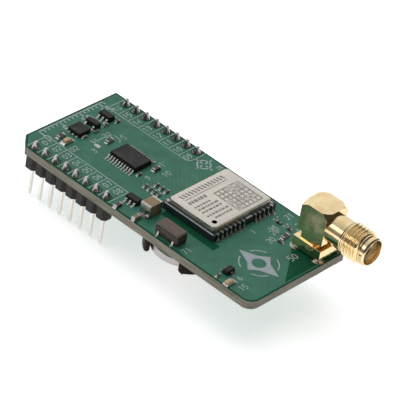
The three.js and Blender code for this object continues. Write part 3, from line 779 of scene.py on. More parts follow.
def header_pin(node, at, seed):
    """A square pin with worked ends, and the solder that wets it on the board's top face."""
    low, high = node_box(node)
    shape = Shape()
    ends = [(0.1, low.z), (0.2, low.z + 0.12), (PIN_HALF, low.z + 0.75)]
    ends += [(PIN_HALF, high.z - 0.35), (0.24, high.z - 0.08), (0.14, high.z)]
    shape.loft([squircle(at.x, at.y, half, 0.12, z, 16) for half, z in ends], 0)
    wobble = random.Random(seed)
    lean = wobble.uniform(-0.05, 0.05)
    rings = []
    for part in range(11):
        t = part / 10
        half = PIN_HALF + 0.03 + (PIN_PAD - 0.06 - PIN_HALF) * (1 - t) ** 1.35
        z = TOP + PAD + (high.z - 0.12 - TOP - PAD) * t
        rings.append(squircle(at.x + lean * (1 - t), at.y, half, 1 - 0.75 * t, z, 24))
    rings.append(squircle(at.x, at.y, 0.2, 0.3, high.z - 0.08, 24))
    shape.loft(rings, 1)
    shape.prism(ring_of(at.x, at.y, PIN_PAD, 28), TOP, TOP + PAD + 0.01, 2)
    shape.prism(ring_of(at.x, at.y, PIN_PAD, 28), -PAD, 0, 2)
    made(f"{node}_soldered", shape, [tin, solder, bare_pad], "pin_tin", stands_for=[node], crisp=50)


def header_strip(row):
    """A moulded bar with a deep notch between neighbouring pins, so that it snaps to length."""
    low, high = node_box(f"header_strip_{row}")
    notch, half = 0.58, (high.y - low.y) / 2
    y = (low.y + high.y) / 2
    near_side, far_side = [], []
    for number in PIN_NUMBERS:
        left, right = pins[row, number].x - PITCH / 2, pins[row, number].x + PITCH / 2
        near_side += [(left, y - half + notch), (left + notch, y - half), (right - notch, y - half)]
        far_side += [(left, y + half - notch), (left + notch, y + half), (right - notch, y + half)]
    near_side.append((right, y - half + notch))
    far_side.append((right, y + half - notch))
    bar = Shape().prism(near_side + far_side[::-1], low.z, high.z)
    made(f"header_strip_{row}_bar", bar, [header_black], "moulding_black", bevel=0.06,
         stands_for=[f"header_strip_{row}"])


for row in ROWS:
    header_strip(row)
    for number in PIN_NUMBERS:
        header_pin(f"header_pin_{row}_{number}", pins[row, number], f"{row}{number}")


# ----------------------------------------------------------------------- the receiver module
BASE_TOP = MODULE_HIGH.z
SHIELD_LOW, SHIELD_HIGH = node_box("receiver_shield")
SHIELD_CENTRE = (SHIELD_LOW + SHIELD_HIGH) / 2
SHIELD_SIZE = SHIELD_HIGH - SHIELD_LOW
VENT = (SHIELD_HIGH.x - 1.35, SHIELD_LOW.y + 1.35, 0.5)


def at_height(outline, z):
    return [(x, y, z) for x, y in outline]


def circle_facing(outline, x, y, radius, z):
    """A circle with one point in the direction of each point of a surrounding outline."""
    ring = []
    for px, py in outline:
        way = Vector((px - x, py - y)).normalized()
        ring.append((x + radius * way.x, y + radius * way.y, z))
    return ring


def module_shield():
    """The drawn can: rounded corners and edges, thin walls, and a vent hole in its roof."""
    roof, wall, edge = SHIELD_HIGH.z, 0.2, 0.24
    rings = []

    def outline(inset):
        size = SHIELD_SIZE
        return round_rectangle(SHIELD_CENTRE.x, SHIELD_CENTRE.y, size.x - 2 * inset, size.y - 2 * inset,
                               max(0.25, 0.7 - inset), 6, 24)

    rings.append(at_height(outline(0), SHIELD_LOW.z))
    for step in range(5):
        turn = math.radians(90 * step / 4)
        inset, z = edge * (1 - math.cos(turn)), roof - edge * (1 - math.sin(turn))
        rings.append(at_height(outline(inset), z))
    flat = outline(edge)
    rings.append(circle_facing(flat, *VENT, roof))
    rings.append(circle_facing(flat, *VENT, roof - wall))
    rings.append(at_height(outline(edge + wall), roof - wall))
    rings.append(at_height(outline(wall), roof - wall - 0.1))
    rings.append(at_height(outline(wall), SHIELD_LOW.z))
    made("receiver_shield_can", Shape().loop(rings), [shield_metal], "shield_nickel", crisp=30,
         stands_for=["receiver_shield"])


def square_at(x, y, half):
    return [(x - half, y - half), (x + half, y - half), (x + half, y + half), (x - half, y + half)]


def shield_marking():
    """Plain laser-marked bars and a panel of nested squares. They spell nothing."""
    shape = Shape()
    z0, z1 = SHIELD_HIGH.z - 0.01, SHIELD_HIGH.z + 0.012
    x0, y0 = SHIELD_LOW.x, SHIELD_LOW.y
    draw = random.Random(7)
    for step in range(14):
        y = y0 + 1.5 + 0.8 * step
        shape.ribbon([(x0 + 0.95, y), (x0 + 2.0, y + 0.32)], 0.36, z0, z1)
    shape.ribbon([(x0 + 2.45, y0 + 1.5), (x0 + 2.45, y0 + 12.3)], 0.14, z0, z1)
    lines = ((3.5, 4.4), (4.9, 3.7), (5.75, 4.1), (6.7, 4.6), (7.9, 4.9), (8.9, 4.2))
    for line, (x, long) in enumerate(lines):
        y = start = y0 + (1.4 if x < 8 else 2.4)
        while y < start + long:
            piece = draw.uniform(0.35, 0.9)
            shape.ribbon([(x0 + x, y), (x0 + x, y + piece)], 0.42 if line else 0.7, z0, z1)
            y += piece + 0.22
    left, low, cell = x0 + 3.9, y0 + 7.4, 1.0
    for column in range(6):
        for row in range(6):
            x, y = left + cell * (column + 0.5), low + cell * (row + 0.5)
            size = draw.choice((0.26, 0.42, 0.42))
            shape.ribbon(square_at(x, y, size), 0.1, z0, z1, closed=True)
            if draw.random() < 0.4:
                shape.block(x, y, 0.24, 0.24, z0, z1)
    shape.ribbon(square_at(left + 3 * cell, low + 3 * cell, 3.1), 0.1, z0, z1, closed=True)
    made("receiver_shield_marking", shape, [marking], "shield_nickel")


def module_pads():
    """Plated half holes down the module's long sides, wetted with solder on to the board."""
    shape = Shape()
    for side, edge in ((-1, MODULE_LOW.x), (1, MODULE_HIGH.x)):
        for y in module_pad_y:
            profile = [(0, TOP + PAD)]
            for step in range(7):
                t = step / 6
                profile.append((0.2 + 0.42 * (1 - t) ** 1.8, TOP + PAD + (BASE_TOP - TOP - PAD) * t))
            profile.append((0, BASE_TOP + 0.03))
            shape.lathe(profile, upright(edge, y, 1.1, 0.55), 20, 0)
            shape.block(edge - side * 0.3, y, 0.56, 0.5, BASE_TOP - 0.01, BASE_TOP + 0.03, 1)
            shape.block(edge + side * 0.3, y, 0.9, 0.66, TOP, TOP + PAD, 1)
    made("receiver_edge_solder", shape, [solder, bare_pad], "pin_tin")
    trim = Shape()
    trim.box((MODULE_LOW.x + 0.25, MODULE_LOW.y - 0.02, BASE_TOP - 0.1),
             (MODULE_HIGH.x - 0.25, MODULE_LOW.y + 0.16, BASE_TOP + 0.03))
    gap_y = (module_pad_y[6] + module_pad_y[7]) / 2
    trim.block(MODULE_HIGH.x - 0.2, gap_y, 0.38, 1.5, BASE_TOP - 0.02, BASE_TOP + 0.04)
    trim.block(MODULE_LOW.x + 0.2, gap_y, 0.38, 1.5, BASE_TOP - 0.02, BASE_TOP + 0.04)
    made("receiver_base_plating", trim, [module_edge], "pin_tin", bevel=0.02)
    foot = Shape()
    low, high = SHIELD_LOW, SHIELD_HIGH
    for x, y in ((low.x, low.y), (low.x, high.y), (high.x, high.y)):
        foot.lathe([(0, BASE_TOP), (0.34, BASE_TOP), (0.28, BASE_TOP + 0.14), (0, BASE_TOP + 0.24)],
                   upright(x, y), 18)
    made("receiver_shield_solder", foot, [solder], "pin_tin")


refinish("receiver_base", module_laminate)
refinish("receiver_chip", chip_black)
module_shield()
shield_marking()
module_pads()


# -------------------------------------------------------------- chips with formed leads
LEAD_THICK = 0.13
CHIP_CORNER = (0.07, 2, 8)  # radius, steps, and points between the corners


def softened(path, rounds=2):
    """Cuts the corners of a path, and leaves its ends where they are."""
    for _ in range(rounds):
        cut = [path[0]]
        for a, b in zip(path, path[1:]):
            cut.append([0.75 * p + 0.25 * q for p, q in zip(a, b)])
            cut.append([0.25 * p + 0.75 * q for p, q in zip(a, b)])
        path = [*cut, path[-1]]
    return path


def gull_lead(shape, put, u, side, edge, tip, exit_z, width):
    """A formed strip that leaves a body at exit_z and lies flat on its pad."""
    reach = tip - edge
    foot = TOP + PAD + LEAD_THICK / 2
    path = [(edge - 0.15, exit_z), (edge + 0.36 * reach, exit_z), (edge + 0.5 * reach, foot), (tip, foot)]
    path = [Vector(p) for p in softened(path)]
    rings = []
    for i, spot in enumerate(path):
        way = (path[min(i + 1, len(path) - 1)] - path[max(i - 1, 0)]).normalized()
        up = Vector((-way.y, way.x)) * LEAD_THICK / 2
        ring = []
        for across, over in ((-1, -1), (1, -1), (1, 1), (-1, 1)):
            v, z = spot + up * over
            ring.append(put(u + across * side * width / 2, side * v, z))
        rings.append(ring)
    shape.loft(rings, 0)
    heel = [(tip - 0.05, TOP + PAD), (tip + 0.22, TOP + PAD)]
    heel += [(tip + 0.1, foot - 0.02), (tip - 0.05, foot + 0.09)]
    shape.loft([[put(u + side * k * width * 0.55, side * v, z) for v, z in heel] for k in (-1, 1)], 1)
    back, front = edge + 0.42 * reach, tip + 0.3
    pad = [(back, TOP), (front, TOP), (front, TOP + PAD), (back, TOP + PAD)]
    shape.loft([[put(u + side * k * width * 0.56, side * v, z) for v, z in pad] for k in (-1, 1)], 2)


def evenly(count, pitch):
    return [(i - (count - 1) / 2) * pitch for i in range(count)]


# Each chip: its node, its body's size across the leads, the leads' width, and their places along
# the near and the far side. The turned one has its leads along X.
CHIPS = (
    ("level_translator", 4.3, 0.25, evenly(10, LEAD_PITCH), evenly(10, LEAD_PITCH), False),
    ("load_switch", 1.5, 0.4, evenly(3, 0.95), [-0.95, 0.95], False),
    ("reset_transistor", 1.3, 0.4, [-0.95, 0.95], [0], False),
    ("regulator", 1.5, 0.4, evenly(3, 0.95), [-0.95, 0.95], False),
    ("pulse_transistor", 1.25, 0.3, [0], [-0.65, 0.65], True),
)


def chip(node, deep, lead_width, near, far, turned):
    low, high = node_box(node)
    middle, size = (low + high) / 2, high - low
    wide, tip = (size.y, size.x / 2) if turned else (size.x, size.y / 2)
    height = size.z

    def put(u, v, z):
        return (middle.x - v, middle.y + u, z) if turned else (middle.x + u, middle.y + v, z)

    def outline(inset, z):
        flat = round_rectangle(0, 0, wide - 2 * inset, deep - 2 * inset, *CHIP_CORNER)
        return [put(u, v, z) for u, v in flat]

    draft = min(0.06 * height, 0.08)
    top = TOP + height
    body = Shape()
    mark = (-wide / 2 + 0.32 + draft, -deep / 2 + 0.32 + draft)
    flat = round_rectangle(0, 0, wide - 4 * draft, deep - 4 * draft, *CHIP_CORNER)
    dimple = min(0.3, 0.14 * deep)
    rings = [outline(draft, TOP + 0.1), outline(0, TOP + height * 0.48), outline(0, TOP + height * 0.52)]
    rings.append(outline(2 * draft, top))
    rings.append([put(*p) for p in circle_facing(flat, *mark, dimple, top)])
    rings.append([put(*p) for p in circle_facing(flat, *mark, dimple * 0.7, top - 0.05)])
    body.loft(rings)
    made(f"{node}_body", body, [chip_black], "moulding_black", bevel=0.03, stands_for=[node])
    leads = Shape()
    exit_z = TOP + height * 0.5
    for side, places in ((-1, near), (1, far)):
        for u in places:
            gull_lead(leads, put, u, side, deep / 2, tip, exit_z, lead_width)
    made(f"{node}_leads", leads, [lead_tin, solder, bare_pad], "pin_tin", crisp=30)


for spec in CHIPS:
    chip(*spec)


def leadless_chip(node):
    """A flat moulded body on a row of pads that just show along two sides."""
    low, high = node_box(node)
    middle, size = (low + high) / 2, high - low
    flat = round_rectangle(middle.x, middle.y, size.x - 0.06, size.y - 0.06, 0.05, 2, 8)
    mark = (low.x + 0.5, low.y + 0.5)
    rings = [at_height(round_rectangle(middle.x, middle.y, size.x, size.y, 0.05, 2, 8), z)
             for z in (TOP + 0.04, high.z - 0.04)]
    rings += [at_height(flat, high.z), circle_facing(flat, *mark, 0.22, high.z)]
    rings.append(circle_facing(flat, *mark, 0.15, high.z - 0.04))
    body = Shape().loft(rings)
    made(f"{node}_body", body, [chip_black], "moulding_black", bevel=0.03, stands_for=[node])
    pads = Shape()
    for side in (-1, 1):
        edge = middle.y + side * size.y / 2
        for dx in evenly(3, 0.95):
            x = middle.x + dx
            pads.block(x, edge, 0.36, 0.1, TOP + 0.05, TOP + 0.24, 0)
            pads.block(x, edge + side * 0.1, 0.44, 0.7, TOP, TOP + PAD, 1)
            rings = []
            wetted = ((0.04, TOP + PAD), (0.3, TOP + PAD), (0.04, TOP + 0.2))
            for half in (-0.17, 0.17):
                rings.append([(x + half, edge + side * out, z) for out, z in wetted])
            pads.loft(rings, 2)
    made(f"{node}_pads", pads, [lead_tin, bare_pad, solder], "pin_tin")


leadless_chip("power_chip")


def line_filter():
    """A tall moulded block with a separate lid, a dark joint line, and four bent end leads."""
    low, high = node_box("line_filter")
    middle, size = (low + high) / 2, high - low
    deep, joint = 2.5, high.z - 0.4

    def outline(inset, z):
        wide = size.x - 2 * inset
        return at_height(round_rectangle(middle.x, middle.y, wide, deep - 2 * inset, 0.12, 3, 6), z)

    # The body's sides take the darker copy of the moulding, which is painted shade; the lid keeps the
    # lighter one.
    base = Shape().loft([outline(0.1, TOP + 0.12), outline(0.02, TOP + 0.5), outline(0.04, joint - 0.2)], 0)
    made("line_filter_body", base, [filter_shaded_side], "moulding_brown", bevel=0.04, stands_for=["line_filter"])
    made("line_filter_joint", Shape().loft([outline(0.16, joint - 0.21), outline(0.16, joint + 0.01)]),
         [hole_dark], "moulding_brown")
    flat = round_rectangle(middle.x, middle.y, size.x - 0.5, deep - 0.5, 0.12, 3, 6)
    dimple = (middle.x, middle.y)
    rings = [outline(0, joint), outline(0, joint + 0.2), outline(0.16, high.z), at_height(flat, high.z)]
    rings += [circle_facing(flat, *dimple, 0.32, high.z), circle_facing(flat, *dimple, 0.26, high.z - 0.04)]
    made("line_filter_lid", Shape().loft(rings), [filter_brown], "moulding_brown", bevel=0.03)
    spot = Shape().prism(ring_of(middle.x, middle.y, 0.24, 20), high.z - 0.06, high.z - 0.03)
    made("line_filter_dot", spot, [printed_ink("filter_dot", (0.3, 0.12, 0.1))], "moulding_brown")
    leads = Shape()

    def put(u, v, z):
        return middle.x + u, middle.y + v, z

    for side in (-1, 1):
        for u in (-1.75, 1.75):
            gull_lead(leads, put, u, side, deep / 2, size.y / 2, TOP + 0.75, 0.38)
    made("line_filter_leads", leads, [lead_tin, solder, bare_pad], "pin_tin", crisp=30)


line_filter()


# ---------------------------------------------------------------- two-ended chip parts
def chip_part(node, kind, box=None):
    """A ceramic part between two tinned ends, with the solder that wets them."""
    low, high = box or node_box(node)
    middle, size = (low + high) / 2, high - low
    along_x = size.x > size.y
    half = max(size.x, size.y) / 2
    side = min(size.x, size.y) / 2
    height = size.z
    cap = half * (0.33 if half < 1.3 else 0.28)

    def put(u, v, z):
        return (middle.x + u, middle.y + v, z) if along_x else (middle.x - v, middle.y + u, z)

    def slab(shape, u0, u1, v, z0, z1, mark):
        rings = [[put(u, s * v, z) for u, s in ((u0, -1), (u1, -1), (u1, 1), (u0, 1))] for z in (z0, z1)]
        shape.loft(rings, mark)

    foot = TOP + PAD
    roof = TOP + height
    thin = 0.015
    shape = Shape()
    if kind == "resistor":
        slab(shape, -half + cap * 0.6, half - cap * 0.6, side - thin, foot, roof - 0.06, 0)
        slab(shape, -half + cap, half - cap, side - thin - 0.03, roof - 0.07, roof - 0.01, 1)
    else:
        slab(shape, -half + cap * 0.6, half - cap * 0.6, side - thin, foot, roof - thin, 0)
    for end in (-1, 1):
        slab(shape, *sorted((end * half, end * (half - cap))), side, foot, roof, 2)
    core, film = {
        "resistor": (resistor_white, resistor_black),
        "tan": (capacitor_tan, capacitor_tan),
        "brown": (capacitor_brown, capacitor_brown),
        "coil": (resistor_black, resistor_black),
    }[kind]
    slot = "ceramic_tan" if kind == "tan" else "ceramic_dark"
    stands_for = [] if box else [node]
    made(f"{node}_part", shape, [core, film, lead_tin], slot, bevel=min(0.05, height * 0.1),
         stands_for=stands_for)
    joints = Shape()
    for end in (-1, 1):
        near_edge = put(end, 0, 0)[1] < middle.y - 0.5
        room = put(end * half, 0, 0)[1] - BOARD_LOW.y - 0.05 if near_edge else half
        reach = min(0.3, 0.35 * height + 0.06, max(0.02, room))
        pad_ends = sorted((end * (half - cap * 1.3), end * (half + reach + 0.04)))
        slab(joints, *pad_ends, side + 0.03, TOP, foot, 1)
        rings = []
        for step in range(7):
            t = step / 6
            curve = [end * (half - 0.01), end * (half + 0.01 + reach * (1 - t) ** 2)]
            z = foot + height * 0.62 * t
            wide = side * (1.02 - 0.12 * t)
            rings.append([put(curve[0], -end * wide, z), put(curve[1], -end * wide * 0.9, z),
                          put(curve[1], end * wide * 0.9, z), put(curve[0], end * wide, z)])
        joints.loft(rings, 0)
    made(f"{node}_joints", joints, [solder, bare_pad], "pin_tin", crisp=50)


PART_KINDS = {
    "power_led_resistor": "resistor", "supply_select_link": "resistor", "switch_capacitor": "brown",
    "switch_resistor": "resistor", "reset_resistor": "resistor", "power_capacitor": "tan",
    "translator_capacitor_1": "brown", "translator_capacitor_2": "brown", "regulator_capacitor": "brown",
    "bulk_capacitor": "tan", "output_capacitor": "tan", "pulse_led_resistor": "resistor",
    "antenna_inductor": "coil", "antenna_capacitor": "brown", "antenna_bias_resistor": "resistor",
}
for number in range(1, 5):
    PART_KINDS[f"bias_resistor_{number}"] = "resistor"
for number in range(1, 4):
    PART_KINDS[f"decoupling_capacitor_{number}"] = "brown"
for node, kind in PART_KINDS.items():
    chip_part(node, kind)
bias_low = node_centre("antenna_bias_resistor") + Vector((-0.05, -1.95, 0))
bias_low.z = TOP
chip_part("antenna_bias_capacitor", "brown", (bias_low, bias_low + Vector((1.0, 0.5, 0.4))))


def chip_led(node):
    """A ceramic case with plated half-round ends and a moulded lens."""
    low, high = node_box(node)
    middle, size = (low + high) / 2, high - low
    case = Shape()
    case.box((low.x, low.y + 0.12, TOP + PAD), (high.x, high.y - 0.12, TOP + 0.34), 0)
    for end, edge in ((-1, low.y), (1, high.y)):
        case.box((low.x + 0.02, min(edge, edge - end * 0.24), TOP + PAD),
                 (high.x - 0.02, max(edge, edge - end * 0.24), TOP + 0.37), 1)
    made(f"{node}_case", case, [led_case, lead_tin], "lens_amber", bevel=0.04, stands_for=[node])
    rings = []
    dome = [(0, TOP + 0.32), (0.05, TOP + 0.5), (0.1, high.z - 0.1), (0.18, high.z - 0.03), (0.3, high.z)]
    for inset, z in dome:
        wide, long = size.x - 0.08 - 2 * inset, size.y - 0.46 - 2 * inset
        rings.append(at_height(round_rectangle(middle.x, middle.y, wide, long, 0.14, 4), z))
    made(f"{node}_lens", Shape().loft(rings), [amber], "lens_amber", crisp=50)
    joints = Shape()
    for end, edge in ((-1, low.y), (1, high.y)):
        tip = max(BOARD_LOW.y + 0.1, edge + end * 0.45)
        joints.box((low.x - 0.02, min(tip, edge - end * 0.25), TOP),
                   (high.x + 0.02, max(tip, edge - end * 0.25), TOP + PAD), 1)
        rings = []
        for k in (-1, 1):
            x = middle.x + k * size.x * 0.42
            toe = edge + (tip - edge) * 0.6
            rings.append([(x, edge, TOP + PAD), (x, toe, TOP + PAD), (x, edge, TOP + 0.3)])
        joints.loft(rings, 0)
    made(f"{node}_joints", joints, [solder, bare_pad], "pin_tin")


for node in ("power_led", "pulse_led"):
    chip_led(node)


def bare_pads():
    """Tinned pads with nothing fitted, and the small solder domes near the antenna feed."""
    shape = Shape()
    link = node_centre("supply_select_link")
    shape.prism(round_rectangle(link.x - 0.3, link.y - 2.7, 1.15, 0.8, 0.12, 3), TOP, TOP + PAD + 0.03)
    coil, cap = node_centre("antenna_inductor"), node_centre("antenna_capacitor")
    spots = [(coil.x - 2.15, coil.y + 1.28), (coil.x - 1.24, coil.y + 1.03), (coil.x - 1.2, coil.y + 0.1),
             (coil.x - 0.65, coil.y + 0.43), (cap.x - 1.2, cap.y), (cap.x - 1.19, cap.y + 0.9),
             (cap.x + 1.0, cap.y + 1.1), (coil.x + 0.2, coil.y - 1.5), (coil.x + 1.2, coil.y - 1.5)]
    for x, y in spots:
        shape.lathe([(0, TOP), (0.26, TOP), (0.25, TOP + 0.05), (0.16, TOP + 0.12), (0, TOP + 0.15)],
                    upright(x, y), 20)
    made("bare_pads", shape, [bare_pad], "pin_tin")


bare_pads()


# -------------------------------------------------------------------------- the antenna jack
JACK_LOW, JACK_HIGH = node_box("jack_body")
JACK_BLOCK = 5.7
JACK_FLANGE = 2 * (CONTACT_AT.x - JACK_LOW.x)
FLANGE_LOW, FLANGE_HIGH = TOP + 0.3, TOP + 2.4
WAIST_TOP = TOP + 3.35
REAR_TOP = TOP + 3.9
CROWN_R = 3.2  # the flat top's radius, inside the turned 45 degree chamfer
JACK_ROOF = JACK_HIGH.z
MOUTH_X = JACK_HIGH.x
AXIS_Z = node_box("jack_contact")[1].z - CONTACT_R
NECK_R = 2.85
COLLAR_R = 2.72
GROOVE_R = 2.5
SOCKET_R = 2.3
SOCKET_DEPTH = 1.95
BORE_R = 2.05
REAR_CUT = 1.05  # how far the rear slot reaches into the block
FRONT_CUT = 1.75
LEG_HALF = 0.5
LEG_PAD_R = 1.35
SIGNAL_PAD_R = 1.1
THREAD = {"pitch": 0.7056, "minor": 2.78, "major": 3.17, "start": MOUTH_X - 5.2, "end": MOUTH_X - 1.32}


def nut_block():
    """A square block whose top edge was turned to a cone, as on a nut."""
    half, sides = JACK_BLOCK / 2, 96
    rings = [[], [], []]
    for i in range(sides):
        turn = 2 * math.pi * i / sides
        c, s = math.cos(turn), math.sin(turn)
        reach = half / max(abs(c), abs(s))
        flat = min(CROWN_R, 0.94 * reach)
        x, y = CONTACT_AT.x + reach * c, CONTACT_AT.y + reach * s
        rings[0].append((x, y, FLANGE_LOW + 0.2))
        rings[1].append((x, y, JACK_ROOF - max(0.0, reach - CROWN_R)))
        rings[2].append((CONTACT_AT.x + flat * c, CONTACT_AT.y + flat * s, JACK_ROOF))
    return Shape().loft(rings)


def notch(x0, x1, z0, z1, radius):
    """A slot milled along Y with rounded inner corners."""
    outline = round_rectangle((x0 + x1) / 2, (z0 + z1) / 2, x1 - x0, z1 - z0, radius, 8)
    return Shape().loft([[(x, CONTACT_AT.y + side * 5, z) for x, z in outline] for side in (1, -1)])


def carved(shape, cutters, joined=()):
    """The shape with solids joined to it and others cut from it, as a new Shape."""
    thing = mesh_object("carving", shape)
    helpers = []
    for tools, operation in ((joined, "UNION"), (cutters, "DIFFERENCE")):
        for tool in tools:
            helper = mesh_object("tool", tool)
            helpers.append(helper)
            step = thing.modifiers.new("step", "BOOLEAN")
            step.operation = operation
            step.solver = "EXACT"
            step.object = helper
    merge = thing.modifiers.new("merge", "DECIMATE")
    merge.decimate_type = "DISSOLVE"
    merge.angle_limit = math.radians(0.5)
    bpy.context.view_layer.update()
    mesh = bpy.data.meshes.new_from_object(thing.evaluated_get(bpy.context.evaluated_depsgraph_get()))
    result = Shape().add([v.co / MM for v in mesh.vertices], [list(p.vertices) for p in mesh.polygons])
    for leftover in (thing, *helpers):
        bpy.data.objects.remove(leftover)
    bpy.data.meshes.remove(mesh)
    return result


def jack_block():
    """The milled block: a tower over a wider flange, cut in at the back and under the barrel."""
    x, y, half = CONTACT_AT.x, CONTACT_AT.y, JACK_BLOCK / 2
    hidden = FLANGE_LOW - 0.6  # the cuts start below the tower's foot, which the flange hides
    rear = notch(x - half - 1.5, x - half + REAR_CUT, hidden, REAR_TOP, 0.4)
    front = notch(x + half - FRONT_CUT, x + half + 3, hidden, WAIST_TOP, 0.44)
    tower = carved(nut_block(), [rear, front])
    made("jack_tower", tower, [gold_block], "jack_gold", bevel=0.09, stands_for=["jack_body"])
    slab = Shape().block(x, y, JACK_FLANGE, JACK_FLANGE, FLANGE_LOW, FLANGE_HIGH)
    made("jack_flange", slab, [gold_block], "jack_gold", bevel=0.05)
    legs = Shape()
    for leg_x, leg_y in LEGS:
        rings = [(0.32, JACK_LOW.z), (LEG_HALF, JACK_LOW.z + 0.25), (LEG_HALF, FLANGE_LOW + 0.1)]
        legs.loft([squircle(leg_x, leg_y, size, 0.08, z, 16) for size, z in rings])
    made("jack_legs", legs, [gold_block], "jack_gold", crisp=50)
    made("jack_leg_solder", leg_solder(), [solder, bare_pad], "pin_tin", crisp=50)


def leg_solder():
    shape = Shape()
    for x, y in [*LEGS, (CONTACT_AT.x, CONTACT_AT.y)]:
        signal = (x, y) == (CONTACT_AT.x, CONTACT_AT.y)
        size, pad = (0.45, SIGNAL_PAD_R) if signal else (0.55, LEG_PAD_R)
        profile = [(0, -PAD)]
        for step in range(9):
            t = step / 8
            profile.append((size + (pad - 0.1 - size) * (1 - t) ** 2, -PAD - 1.05 * t))
        profile.append((0, -PAD - 1.1))
        shape.lathe(profile[::-1], upright(x, y), 32, 0)
        shape.prism(ring_of(x, y, pad, 32), -PAD, 0, 1)
        if not signal:
            shape.prism(ring_of(x, y, 1.12, 32), TOP, TOP + PAD + 0.02, 1)
            wick = [(0, TOP + PAD), (0.92, TOP + PAD), (0.72, TOP + 0.14)]
            wick += [(0.56, TOP + 0.3), (0, TOP + 0.3)]
            shape.lathe(wick, upright(x, y), 32, 0)
    return shape


def thread_radius(x, turn):
    """The helix: a rounded vee whose depth fades in and out at its ends."""
    phase = ((x - THREAD["start"]) / THREAD["pitch"] - turn / (2 * math.pi)) % 1
    crest = min(1.0, max(0.0, (0.5 - abs(phase - 0.5)) * 2.9 - 0.22))
    fade = min(1.0, (x - THREAD["start"]) / 0.45, (THREAD["end"] - x) / 0.45)
    return THREAD["minor"] + (THREAD["major"] - THREAD["minor"]) * crest * max(0.0, fade)


def jack_barrel():
    """Neck, helical thread, relief groove, collar, mouth and bore, as one turned skin."""
    sides, steps = 96, 112
    start, end = THREAD["start"], THREAD["end"]
    stations = [(CONTACT_AT.x + 1.2, NECK_R), (start - 0.28, NECK_R), (start - 0.2, NECK_R)]
    stations.append((start - 0.08, THREAD["minor"]))
    rings = []

    def ring(x, radius):
        points = []
        for i in range(sides):
            turn = 2 * math.pi * i / sides
            r = thread_radius(x, turn) if radius is None else radius
            points.append((x, CONTACT_AT.y + r * math.cos(turn), AXIS_Z + r * math.sin(turn)))
        rings.append(points)

    for x, radius in stations:
        ring(x, radius)
    for step in range(steps + 1):
        ring(start + (end - start) * step / steps, None)
    m = MOUTH_X
    groove = [(m - 1.3, 2.56), (m - 1.24, GROOVE_R), (m - 1.14, GROOVE_R), (m - 1.08, 2.56)]
    groove.append((m - 1.0, 2.68))
    collar = [(m - 0.95, COLLAR_R), (m - 0.9, COLLAR_R), (m - 0.35, COLLAR_R), (m - 0.3, COLLAR_R)]
    collar += [(m - 0.2, 2.69), (m - 0.05, 2.56), (m, 2.5)]
    bore = [(m, 2.41), (m - 0.05, 2.34), (m - 0.16, SOCKET_R), (m - SOCKET_DEPTH + 0.05, SOCKET_R)]
    bore += [(m - SOCKET_DEPTH + 0.02, SOCKET_R - 0.04), (m - SOCKET_DEPTH, BORE_R)]
    bore += [(m - 3.0, BORE_R), (CONTACT_AT.x + 1.4, BORE_R)]
    for x, radius in [*groove, *collar, *bore]:
        ring(x, radius)
    made("jack_barrel", Shape().loop(rings), [gold_turned], "jack_gold", crisp=38)


def show_cad_node(node, finish, crisp=35):
    refinish(node, finish)
    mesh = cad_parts[node].data
    mesh.shade_smooth()
    mesh.set_sharp_from_angle(angle=math.radians(crisp))


jack_block()
jack_barrel()
show_cad_node("jack_insulator", ptfe)
show_cad_node("jack_contact", gold_turned)


# ------------------------------------------------------------- the coin cell and its holder
CELL_LOW, CELL_HIGH = node_box("coin_cell")
HOLDER_LOW, HOLDER_HIGH = node_box("cell_holder")
CELL_X, CELL_Y = (CELL_LOW.x + CELL_HIGH.x) / 2, (CELL_LOW.y + CELL_HIGH.y) / 2
CELL_R = (CELL_HIGH.x - CELL_LOW.x) / 2
HOLDER_R = (HOLDER_HIGH.x - HOLDER_LOW.x) / 2
CELL_GAP = 0.17  # between the cell and the holder's wall
MOUTH = {"left": 25.5, "right": 33.5}  # degrees from the middle of the near side


def cell_holder():
    """A round wall with a mouth towards the near edge, on a thin floor against the board."""
    inner, outer = CELL_R + CELL_GAP, HOLDER_R
    low, high = HOLDER_LOW.z, HOLDER_HIGH.z
    start, end = -90 + MOUTH["right"], 270 - MOUTH["left"]
    rings = []
    steps = 120
    for step in range(steps + 1):
        t = step / steps
        turn = math.radians(start + (end - start) * t)
        from_end = min(t, 1 - t) * (end - start) * math.pi / 180 * outer
        pinch = math.sqrt(max(0.0, 1 - (1 - min(1.0, from_end / 0.9)) ** 2))
        pinch = max(0.25, pinch)
        middle, half = (inner + outer) / 2, (outer - inner) / 2 * pinch
        tall = (high - low) * (0.78 + 0.22 * pinch)
        ring = []
        for r, z in round_rectangle(middle, high - tall / 2, 2 * half, tall, min(0.48, half * 0.88), 4):
            ring.append((CELL_X + r * math.cos(turn), CELL_Y + r * math.sin(turn), z))
        rings.append(ring)
    shape = Shape().loft(rings, 0)
    shape.prism(arc(CELL_X, CELL_Y, inner + 0.2, start, end, 72), -0.3, -0.02)
    for turn in (20, 160, 230, 310):
        x = CELL_X + (outer - 0.4) * math.cos(math.radians(turn))
        y = CELL_Y + (outer - 0.4) * math.sin(math.radians(turn))
        shape.lathe([(0, low), (0.24, low), (0.24, low + 0.2), (0, low + 0.2)], upright(x, y), 20)
    made("cell_holder_tray", shape, [holder_black], "moulding_black", stands_for=["cell_holder"])


